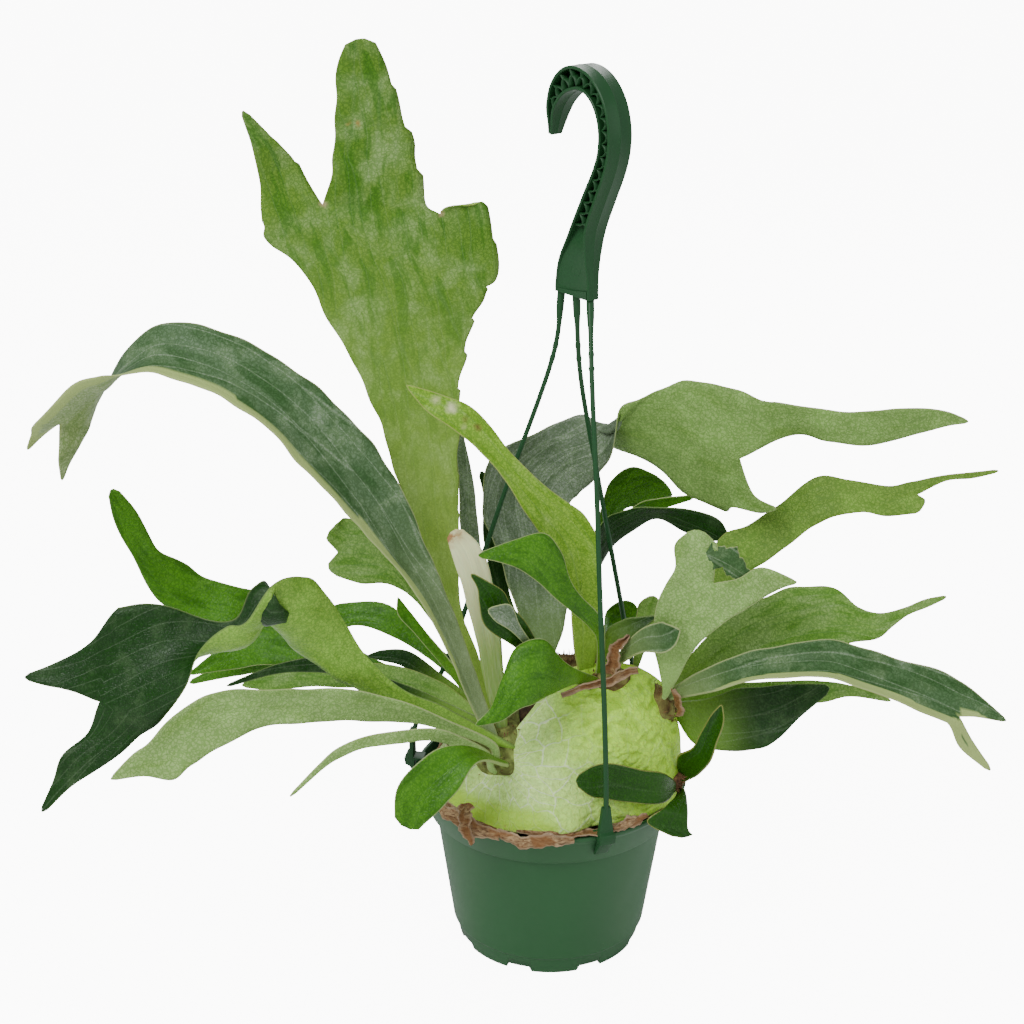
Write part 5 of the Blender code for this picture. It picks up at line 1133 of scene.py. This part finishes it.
class Nodes:
    """Short forms for the nodes of one tree; each call returns the new node's output."""

    def __init__(self, tree):
        self.tree = tree

    def add(self, kind, values=(), out=0, **settings):
        """A node with its settings and input values or links."""
        made = self.tree.nodes.new("ShaderNode" + kind)
        for key, value in settings.items():
            setattr(made, key, value)
        for key, value in dict(values).items():
            socket = made.inputs[key]
            if isinstance(value, bpy.types.NodeSocket):
                self.tree.links.new(value, socket)
            elif socket.type == "RGBA":
                socket.default_value = (*value, 1)
            else:
                socket.default_value = value
        return made.outputs[out]

    def math(self, operation, first, second=0.0, clamp=False):
        """One sum on two values."""
        return self.add("Math", {0: first, 1: second}, operation=operation, use_clamp=clamp)

    def mix(self, share, first, second, blend="MIX"):
        """Mix of two colours."""
        return self.add("Mix", {0: share, 6: first, 7: second}, 2, data_type="RGBA",
                        blend_type=blend)

    def span(self, value, low, high, start=0.0, end=1.0):
        """A value mapped smoothly from low..high onto start..end."""
        return self.add("MapRange", {0: value, 1: low, 2: high, 3: start, 4: end},
                        interpolation_type="SMOOTHSTEP")

    def noise(self, vector, scale, detail=3.0, distortion=0.0, roughness=0.55):
        """Noise of a place."""
        return self.add("TexNoise", {"Vector": vector, "Scale": scale, "Detail": detail,
                                     "Distortion": distortion, "Roughness": roughness})

    def place(self):
        """Object coordinates, in metres."""
        return self.add("TexCoord", out=3)

    def mark(self, name):
        """A vertex mark of the mesh."""
        return self.add("Attribute", out=2, attribute_name=name)

    def vector(self, x, y, z=0.0):
        """Three values as one vector."""
        return self.add("CombineXYZ", {0: x, 1: y, 2: z})

    def use(self, group, values=()):
        """A node group with its inputs."""
        made = self.tree.nodes.new("ShaderNodeGroup")
        made.node_tree = group
        for key, value in dict(values).items():
            if isinstance(value, bpy.types.NodeSocket):
                self.tree.links.new(value, made.inputs[key])
            else:
                made.inputs[key].default_value = value
        return made.outputs[0]

    def bump(self, height, strength, distance):
        """Normal of a relief."""
        return self.add("Bump", {"Height": height, "Strength": strength, "Distance": distance})


def new_group(name, inputs):
    """A node group with float inputs and one output mask."""
    tree = bpy.data.node_groups.new(name, "ShaderNodeTree")
    for key, value in inputs.items():
        socket = tree.interface.new_socket(key, in_out="INPUT", socket_type="NodeSocketFloat")
        socket.default_value = value
    tree.interface.new_socket("Mask", in_out="OUTPUT", socket_type="NodeSocketFloat")
    start = tree.nodes.new("NodeGroupInput").outputs
    end = tree.nodes.new("NodeGroupOutput").inputs
    return Nodes(tree), start, end, tree


def make_groups():
    """The effects that several materials share."""
    groups = {}
    n, start, end, tree = new_group("blotches", {"Scale": 40.0, "Low": 0.4, "High": 0.6})
    spots = n.noise(n.place(), start["Scale"], 4.0, 0.6)
    n.tree.links.new(n.span(spots, start["Low"], start["High"]), end[0])
    groups["blotches"] = tree
    n, start, end, tree = new_group("lengthwise_veins", {"Spacing": 8.0, "Length": 130.0,
                                                         "Width": 0.06})
    x = n.math("DIVIDE", n.mark("off"), start["Spacing"])
    y = n.math("DIVIDE", n.mark("run"), start["Length"])
    sway = n.math("MULTIPLY", n.noise(n.vector(x, y), 0.8, 2.0), 0.9)
    cells = n.add("TexVoronoi", {"Vector": n.vector(n.math("ADD", x, sway), y), "Scale": 1.0},
                  voronoi_dimensions="2D", feature="DISTANCE_TO_EDGE")
    n.tree.links.new(n.span(cells, 0.0, start["Width"], 1.0, 0.0), end[0])
    groups["veins"] = tree
    n, start, end, tree = new_group("streaks", {"Across": 0.12, "Along": 0.03, "Low": 0.5,
                                                "High": 0.65})
    x = n.math("MULTIPLY", n.mark("off"), start["Across"])
    y = n.math("MULTIPLY", n.mark("run"), start["Along"])
    worn = n.noise(n.vector(x, y), 1.0, 5.0, 0.5, 0.6)
    n.tree.links.new(n.span(worn, start["Low"], start["High"]), end[0])
    groups["streaks"] = tree
    n, start, end, tree = new_group("felt", {"Scale": 55.0, "Cover": 0.5})
    worn = n.noise(n.place(), start["Scale"], 5.0, 0.4, 0.6)
    low = n.math("SUBTRACT", 0.70, n.math("MULTIPLY", start["Cover"], 0.5))
    n.tree.links.new(n.span(worn, low, n.math("ADD", low, 0.34)), end[0])
    groups["felt"] = tree
    # wrinkle lines: relief for the bump, and painted shade where a finish darkens them
    n, start, end, tree = new_group("shaded_wrinkles", {"Scale": 460.0})
    bend = n.add("TexNoise", {"Vector": n.place(), "Scale": 330.0, "Detail": 1.0}, 1)
    bend = n.add("VectorMath", {0: bend, "Scale": 0.0045}, operation="SCALE")
    bent = n.add("VectorMath", {0: n.place(), 1: bend}, operation="ADD")
    cells = n.add("TexVoronoi", {"Vector": bent, "Scale": start["Scale"]},
                  feature="DISTANCE_TO_EDGE")
    n.tree.links.new(n.span(cells, 0.03, 0.22, 1.0, 0.0), end[0])
    groups["shaded_wrinkles"] = tree
    n, start, end, tree = new_group("margin_line", {"Width": 0.65})
    n.tree.links.new(n.span(n.mark("edge"), 0.1, start["Width"], 1.0, 0.0), end[0])
    groups["margin"] = tree
    return groups


def new_look(name, **constants):
    """A material with its shader; sheen, coat and the like are constants."""
    made = bpy.data.materials.new(name)
    made.use_nodes = True
    shader = made.node_tree.nodes["Principled BSDF"]
    for key, value in constants.items():
        shader.inputs[key.replace("_", " ")].default_value = value
    return made, Nodes(made.node_tree), shader.inputs


def frond_look(name, groups, top, worn, under, felt, veins=0.0, cover=0.5, gloss=0.5,
               margin=(0.40, 0.47, 0.20), burns=(), fade=60.0):
    """Antler frond: felted skin that is worn to bare green in patches, pale veins along
    it, a fine pale margin, a lighter underside, and painted shade along its wrinkles."""
    made, n, shader = new_look(name, Specular_IOR_Level=0.2)
    worn_below = (under[0], 1.25 * under[1], 0.4 * under[2])
    bare = n.use(groups["streaks"], {"Low": 0.48, "High": 0.60})
    patch = n.use(groups["blotches"], {"Scale": 30.0, "Low": 0.35, "High": 0.7})
    tone = n.mix(n.math("MULTIPLY", patch, 0.5), top, worn)
    tone = n.mix(n.math("MULTIPLY", bare, 0.75), tone, worn)
    hairs = n.use(groups["felt"], {"Cover": cover})
    kept = n.math("SUBTRACT", 1.0, n.math("MULTIPLY", bare, 0.7))
    tone = n.mix(n.math("MULTIPLY", n.math("MULTIPLY", hairs, kept), felt[3]), tone, felt[:3])
    lines = n.use(groups["veins"])
    tone = n.mix(n.math("MULTIPLY", lines, veins), tone, (0.42, 0.50, 0.38))
    below = n.mix(n.math("MULTIPLY", patch, 0.45), under, tuple(0.66 * c for c in under))
    rubbed = n.use(groups["streaks"], {"Across": 0.07, "Along": 0.02, "Low": 0.5, "High": 0.68})
    below = n.mix(n.math("MULTIPLY", rubbed, 0.6), below, tuple(0.5 * c for c in worn_below))
    fuzz = n.math("MULTIPLY", n.math("MULTIPLY", hairs, n.span(rubbed, 0.0, 1.0, 1.0, 0.4)), 0.5)
    below = n.mix(fuzz, below, tuple(1.5 * c + 0.02 for c in under))
    below = n.mix(n.math("MULTIPLY", lines, 0.12 + 0.2 * veins), below,
                  tuple(0.7 * c for c in under))
    tone = n.mix(n.mark("under"), tone, below)
    shaded_wrinkles = n.use(groups["shaded_wrinkles"])
    # painted shade: the wrinkle lines are darkened by multiplying in a dull green
    tone = n.mix(n.math("MULTIPLY", shaded_wrinkles, 0.55), tone, (0.32, 0.50, 0.20), "MULTIPLY")
    base = n.span(n.mark("run"), 12.0, fade, 0.55, 0.0)
    tone = n.mix(base, tone, tuple(1.2 * c for c in under))
    tone = n.mix(n.mark("lip"), tone, (0.36, 0.47, 0.15))
    tone = n.mix(n.math("MULTIPLY", n.use(groups["margin"]), 0.75), tone, margin)
    for x, y, z, size, colour in burns:
        away = n.add("VectorMath", {0: n.place(), 1: (x * MM, y * MM, z * MM)}, 1,
                     operation="DISTANCE")
        ragged = n.math("ADD", away, n.math("MULTIPLY", n.noise(n.place(), 260.0), 0.006))
        tone = n.mix(n.span(ragged, 0.5 * size * MM, size * MM + 0.003, 0.9, 0.0), tone, colour)
    n.tree.links.new(tone, shader["Base Color"])
    rough = n.span(hairs, 0.0, 1.0, gloss, min(1.0, gloss + 0.25))
    n.tree.links.new(rough, shader["Roughness"])
    relief = n.math("ADD", n.math("MULTIPLY", shaded_wrinkles, -0.8), n.math("MULTIPLY", lines, -0.6))
    relief = n.math("ADD", relief, n.math("MULTIPLY", n.noise(n.place(), 140.0, 2.0), 1.2))
    n.tree.links.new(n.bump(relief, 0.35, 0.0006), shader["Normal"])
    return made


def cream_look(groups):
    """The cut young frond: cream flesh, green at its foot, brown where it is torn."""
    made, n, shader = new_look("leaf_cream", Subsurface_Weight=0.15, Subsurface_Scale=0.004)
    run = n.mark("run")
    tone = n.mix(n.span(run, 55.0, 125.0), (0.22, 0.36, 0.07), (0.80, 0.84, 0.45))
    grain = n.use(groups["streaks"], {"Across": 0.8, "Along": 0.04, "Low": 0.4, "High": 0.7})
    tone = n.mix(n.math("MULTIPLY", grain, 0.35), tone, (0.50, 0.58, 0.30))
    patch = n.use(groups["blotches"], {"Scale": 120.0, "Low": 0.45, "High": 0.7})
    torn = n.math("MULTIPLY", n.span(run, 130.0, 139.0), n.math("ADD", patch, 0.35), clamp=True)
    tone = n.mix(torn, tone, (0.33, 0.17, 0.06))
    n.tree.links.new(tone, shader["Base Color"])
    shader["Roughness"].default_value = 0.6
    n.tree.links.new(n.bump(grain, 0.3, 0.0005), shader["Normal"])
    return made


def shield_look(groups):
    """The living shield frond: sage with pale forked veins on the left, quilted yellow-
    green on the right, lime at its young lip, browned specks, and painted shade on its
    far left end, in its creases and in the hollows of its quilting."""
    made, n, shader = new_look("shield_green_look", Specular_IOR_Level=0.2,
                               Subsurface_Weight=0.08, Subsurface_Scale=0.004)
    around, rise = n.mark("around"), n.mark("rise")
    cloud = n.noise(n.place(), 28.0, 3.0, 0.4)
    drift = n.math("ADD", around, n.math("MULTIPLY", n.math("SUBTRACT", cloud, 0.5), 70.0))
    young = n.span(drift, -14.0, 46.0)
    sage = n.mix(n.span(cloud, 0.35, 0.7), (0.68, 0.96, 0.30), (0.50, 0.80, 0.18))
    # painted shade: the far left end of the shield, where it dips away from the bud, is darkened
    sage = n.mix(n.span(drift, -66.0, -36.0, 0.8, 0.0), sage, (0.30, 0.42, 0.12))
    tone = n.mix(young, sage, (0.58, 1.0, 0.07))
    grain = n.noise(n.place(), 520.0, 3.0, 0.8, 0.7)
    tone = n.mix(n.span(grain, 0.40, 0.66, 0.0, 0.45), tone, (0.30, 0.46, 0.09))
    fan = n.math("MULTIPLY", n.mark("fan"), 2.6)
    reach = n.math("MULTIPLY", n.mark("reach"), 0.045)
    sway = n.math("MULTIPLY", n.noise(n.place(), 60.0, 2.0), 0.8)
    forks = n.add("TexVoronoi", {"Vector": n.vector(n.math("ADD", fan, sway), reach),
                                 "Scale": 1.6},
                  voronoi_dimensions="2D", feature="DISTANCE_TO_EDGE")
    lines = n.math("MULTIPLY", n.span(forks, 0.0, 0.06, 1.0, 0.0),
                   n.span(young, 0.1, 0.8, 0.6, 0.08))
    tone = n.mix(lines, tone, (0.95, 1.0, 0.78))
    shaded_creases = n.use(groups["shaded_wrinkles"], {"Scale": 210.0})
    # painted shade: the creases of the shield are darkened to a deeper green
    tone = n.mix(n.math("MULTIPLY", shaded_creases, 0.22), tone, (0.20, 0.40, 0.06))
    squash = n.add("Mapping", {"Vector": n.place(), "Scale": (170.0, 170.0, 340.0)})
    warp = n.add("VectorMath", {0: squash, 1: n.add("TexNoise", {
        "Vector": n.place(), "Scale": 90.0}, 1)}, operation="ADD")
    quilt = n.add("TexVoronoi", {"Vector": warp, "Scale": 1.0}, feature="SMOOTH_F1")
    # painted shade: the hollows between the quilted cells are darkened, most on the young right
    # side
    shaded_hollow = n.math("MULTIPLY", n.span(quilt, 0.35, 0.75), n.span(young, 0.0, 1.0, 0.12, 1.0))
    tone = n.mix(n.math("MULTIPLY", shaded_hollow, 0.8), tone, (0.30, 0.56, 0.03))
    lip = n.math("MULTIPLY", n.span(rise, 12.0, 17.0, 1.0, 0.0),
                 n.span(drift, -4.0, 12.0, 1.0, 0.0))
    corner = n.math("MULTIPLY", n.span(n.mark("edge"), 1.0, 7.0, 1.0, 0.0),
                    n.span(around, 45.0, 62.0))
    lime = n.math("MAXIMUM", lip, n.math("MULTIPLY", corner, n.span(rise, 40.0, 52.0)))
    tone = n.mix(n.math("MULTIPLY", lime, 0.8), tone, (0.36, 0.62, 0.02))
    specks = n.use(groups["blotches"], {"Scale": 130.0, "Low": 0.70, "High": 0.76})
    tone = n.mix(n.math("MULTIPLY", specks, 0.8), tone, (0.30, 0.22, 0.07))
    rim = n.use(groups["margin"], {"Width": 1.4})
    tone = n.mix(n.math("MULTIPLY", rim, 0.7), tone, (0.45, 0.40, 0.20))
    tone = n.mix(n.mark("under"), tone, (0.28, 0.30, 0.14))
    n.tree.links.new(tone, shader["Base Color"])
    shader["Roughness"].default_value = 0.5
    relief = n.math("SUBTRACT", n.math("MULTIPLY", lines, 0.5), n.math("MULTIPLY", shaded_hollow, 1.6))
    relief = n.math("SUBTRACT", relief, n.math("MULTIPLY", shaded_creases, 0.3))
    relief = n.math("ADD", relief, n.math("MULTIPLY", n.noise(n.place(), 300.0, 3.0), 0.4))
    n.tree.links.new(n.bump(relief, 0.55, 0.0016), shader["Normal"])
    return made


def dry_look(groups):
    """Dead shield frond: papery, from pinkish tan to dark brown, stringy."""
    made, n, shader = new_look("dry_look", Specular_IOR_Level=0.25)
    strings = n.add("Mapping", {"Vector": n.place(), "Scale": (1.0, 1.0, 3.5)})
    grain = n.noise(strings, 240.0, 5.0, 1.2, 0.65)
    tone = n.mix(n.span(grain, 0.3, 0.7), (0.10, 0.045, 0.016), (0.50, 0.34, 0.18))
    patch = n.use(groups["blotches"], {"Scale": 70.0, "Low": 0.42, "High": 0.58})
    tone = n.mix(n.math("MULTIPLY", patch, 0.8), tone, (0.20, 0.085, 0.025))
    rim = n.use(groups["margin"], {"Width": 1.6})
    tone = n.mix(n.math("MULTIPLY", rim, 0.5), tone, (0.50, 0.38, 0.26))
    n.tree.links.new(tone, shader["Base Color"])
    shader["Roughness"].default_value = 0.85
    n.tree.links.new(n.bump(grain, 0.7, 0.0015), shader["Normal"])
    return made


def rough_look(name, dark, light, scale, depth):
    """Rough brown matter: potting mix, rhizome or scales."""
    made, n, shader = new_look(name, Specular_IOR_Level=0.2, Roughness=0.9)
    grain = n.noise(n.place(), scale, 5.0, 1.0, 0.7)
    chips = n.add("TexVoronoi", {"Vector": n.place(), "Scale": scale * 1.6})
    tone = n.mix(n.span(grain, 0.35, 0.7), dark, light)
    tone = n.mix(n.span(chips, 0.1, 0.7, 0.0, 0.5), tone, tuple(0.3 * c for c in dark))
    n.tree.links.new(tone, shader["Base Color"])
    n.tree.links.new(n.bump(grain, 0.9, depth), shader["Normal"])
    return made


def plastic_look(name, colour, gloss, groups):
    """Moulded plastic: an even satin skin with a faint cloudiness and grain."""
    made, n, shader = new_look(name, Specular_IOR_Level=0.25)
    cloud = n.use(groups["blotches"], {"Scale": 14.0, "Low": 0.2, "High": 0.8})
    tone = n.mix(n.math("MULTIPLY", cloud, 0.35), colour, tuple(1.25 * c for c in colour))
    dust = n.use(groups["blotches"], {"Scale": 900.0, "Low": 0.7, "High": 0.8})
    tone = n.mix(n.math("MULTIPLY", dust, 0.12), tone, (0.3, 0.34, 0.3))
    n.tree.links.new(tone, shader["Base Color"])
    n.tree.links.new(n.span(cloud, 0.0, 1.0, gloss, gloss + 0.1), shader["Roughness"])
    n.tree.links.new(n.bump(n.noise(n.place(), 1500.0, 2.0), 0.12, 0.0002), shader["Normal"])
    return made


def stage_look():
    """Plain pale floor, a little brighter to the eye than the light that it returns."""
    made, n, shader = new_look("floor_look", Roughness=0.8, Specular_IOR_Level=0.1)
    shader["Base Color"].default_value = (0.86, 0.86, 0.855, 1)
    shader["Emission Color"].default_value = (1.0, 1.0, 0.99, 1)
    seen = n.math("MULTIPLY", n.add("LightPath"), FLOOR_GLOW)
    n.tree.links.new(seen, shader["Emission Strength"])
    return made


# ---- light and camera ----

def add_lamp(name, place, size, energy):
    """A soft square lamp that looks at the plant."""
    light = bpy.data.lights.new(name, "AREA")
    light.size = size
    light.energy = energy
    lamp = bpy.data.objects.new(name, light)
    lamp.location = place
    toward = Vector((0, 0, 0.2)) - Vector(place)
    lamp.rotation_euler = toward.to_track_quat("-Z", "Y").to_euler()
    bpy.context.scene.collection.objects.link(lamp)


def add_stage():
    """Floor, lamps, sky and camera."""
    mesh = bpy.data.meshes.new("floor")
    corners = [(x * FLOOR_HALF, y * FLOOR_HALF, 0) for x, y in ((-1, -1), (1, -1), (1, 1), (-1, 1))]
    mesh.from_pydata(corners, [], [(0, 1, 2, 3)])
    mesh.materials.append(stage_look())
    floor = bpy.data.objects.new("floor", mesh)
    bpy.context.scene.collection.objects.link(floor)
    add_lamp("key", (-0.9, -1.1, 1.5), 0.8, 25)
    add_lamp("fill", (1.4, -0.9, 0.9), 1.2, 6)
    add_lamp("back", (0.3, 1.5, 1.3), 1.0, 14)
    world = bpy.data.worlds.new("studio")
    world.use_nodes = True
    world.node_tree.nodes["Background"].inputs["Color"].default_value = (0.95, 0.97, 1.0, 1)
    n = Nodes(world.node_tree)
    strength = n.math("ADD", 0.62, n.math("MULTIPLY", n.add("LightPath"), FLOOR_GLOW))
    n.tree.links.new(strength, n.tree.nodes["Background"].inputs["Strength"])
    bpy.context.scene.world = world
    lens = bpy.data.cameras.new("camera")
    lens.lens = CAMERA_LENS
    lens.sensor_width = SENSOR_WIDTH
    camera = bpy.data.objects.new("camera", lens)
    turn = Matrix(CAMERA_AXES).transposed().to_4x4()
    camera.matrix_world = Matrix.Translation(CAMERA_PLACE) @ turn
    bpy.context.scene.collection.objects.link(camera)
    bpy.context.scene.camera = camera


def frond_looks(groups):
    """Finishes of the antler fronds by tone: upper skin, worn skin, underside, and the felt
    with its share."""
    looks = {
        "deep": frond_look("leaf_deep", groups, (0.070, 0.145, 0.055), (0.030, 0.095, 0.018),
                           (0.27, 0.37, 0.13), (0.27, 0.36, 0.20, 0.55), 0.30, 0.55, 0.42),
        "arch": frond_look("leaf_arch", groups, (0.085, 0.155, 0.070), (0.030, 0.095, 0.018),
                           (0.34, 0.43, 0.20), (0.27, 0.36, 0.22, 0.55), 0.30, 0.6, 0.42,
                           fade=190.0),
        "bloom": frond_look("leaf_bloom", groups, (0.19, 0.24, 0.17), (0.11, 0.16, 0.09),
                            (0.23, 0.38, 0.10), (0.34, 0.41, 0.30, 0.55), 0.45, 0.6, 0.45),
        "dark": frond_look("leaf_dark", groups, (0.012, 0.048, 0.008), (0.006, 0.050, 0.001),
                           (0.25, 0.46, 0.06), (0.11, 0.19, 0.08, 0.45), 0.08, 0.5, 0.36,
                           margin=(0.16, 0.24, 0.07)),
        "bright": frond_look("leaf_bright", groups, (0.080, 0.24, 0.010),
                             (0.034, 0.135, 0.001), (0.12, 0.25, 0.02),
                             (0.19, 0.32, 0.08, 0.35), 0.02, 0.35, 0.34),
        # painted shade: a darker copy of the bright finish, the same deep green on both faces, for
        # the low leaves; its skin is also glossier
        "shaded_glossy": frond_look("leaf_shaded_glossy", groups, (0.018, 0.085, 0.002),
                             (0.010, 0.058, 0.001), (0.022, 0.095, 0.002),
                             (0.08, 0.17, 0.03, 0.2), 0.03, 0.3, 0.26,
                             margin=(0.28, 0.30, 0.08)),
        "light": frond_look("leaf_light", groups, (0.22, 0.38, 0.085), (0.10, 0.25, 0.015),
                            (0.18, 0.32, 0.045), (0.30, 0.41, 0.18, 0.5), 0.08, 0.55, 0.5,
                            margin=(0.30, 0.33, 0.10)),
        "pale": frond_look("leaf_pale", groups, (0.26, 0.41, 0.11), (0.16, 0.31, 0.04),
                           (0.31, 0.48, 0.15), (0.37, 0.48, 0.23, 0.5), 0.10, 0.6, 0.55),
        "cream": cream_look(groups)}
    looks["tall"] = frond_look(
        "leaf_tall", groups, (0.13, 0.25, 0.025), (0.045, 0.16, 0.002), (0.42, 0.62, 0.11),
        (0.30, 0.43, 0.17, 0.65), 0.06, 0.62, 0.5, margin=(0.22, 0.24, 0.07),
        burns=BURNS_TALL, fade=330.0)
    looks["central"] = frond_look(
        "leaf_central", groups, (0.29, 0.50, 0.055), (0.16, 0.34, 0.008), (0.24, 0.40, 0.05),
        (0.38, 0.50, 0.17, 0.4), 0.10, 0.45, 0.5, margin=(0.38, 0.42, 0.12),
        burns=BURNS_CENTRAL)
    return looks


def main():
    """Build every piece round the part."""
    groups = make_groups()
    looks = frond_looks(groups)
    pot_green = plastic_look("pot_plastic_look", (0.024, 0.096, 0.032), 0.40, groups)
    hook_green = plastic_look("hanger_plastic_look", (0.012, 0.062, 0.018), 0.38, groups)
    mix = rough_look("mix_look", (0.045, 0.026, 0.014), (0.16, 0.10, 0.05), 160.0, 0.003)
    felted = rough_look("young_rhizome_look", (0.13, 0.13, 0.035), (0.36, 0.46, 0.12), 120.0,
                        0.002)
    browned = rough_look("browned_rhizome_look", (0.14, 0.085, 0.03), (0.36, 0.36, 0.11),
                         90.0, 0.002)
    rhizome = rough_look("rhizome_look", (0.09, 0.040, 0.018), (0.34, 0.19, 0.09), 200.0, 0.002)
    scales = rough_look("scales_look", (0.15, 0.070, 0.028), (0.36, 0.21, 0.11), 300.0, 0.0006)
    shield, dry = shield_look(groups), dry_look(groups)
    add_pot(pot_green)
    add_root_ball(mix)
    for name, spec in CROWNS.items():
        skin = {"crown_left": felted, "crown_low": rhizome}.get(name, browned)
        add_crown(name, spec, skin, scales, FRONDS, SCALES[name])
    for name, spec in SHIELDS.items():
        add_shield(name, spec, shield if spec["material"] == "shield_green" else dry)
    for name, spec in FLAKES.items():
        add_flake(name, spec, dry)
    add_flake("fork_fold", FORK_FOLD, looks["deep"])
    for name, spec in FRONDS.items():
        tone = next((tone for tone, names in SPECIAL_TONES.items() if name in names),
                    spec["tone"])
        add_frond(name, spec, looks[tone])
    add_hook(hook_green)
    for name, (azimuth, route) in STRANDS.items():
        add_strand(name, azimuth, route, hook_green)


main()
add_stage()
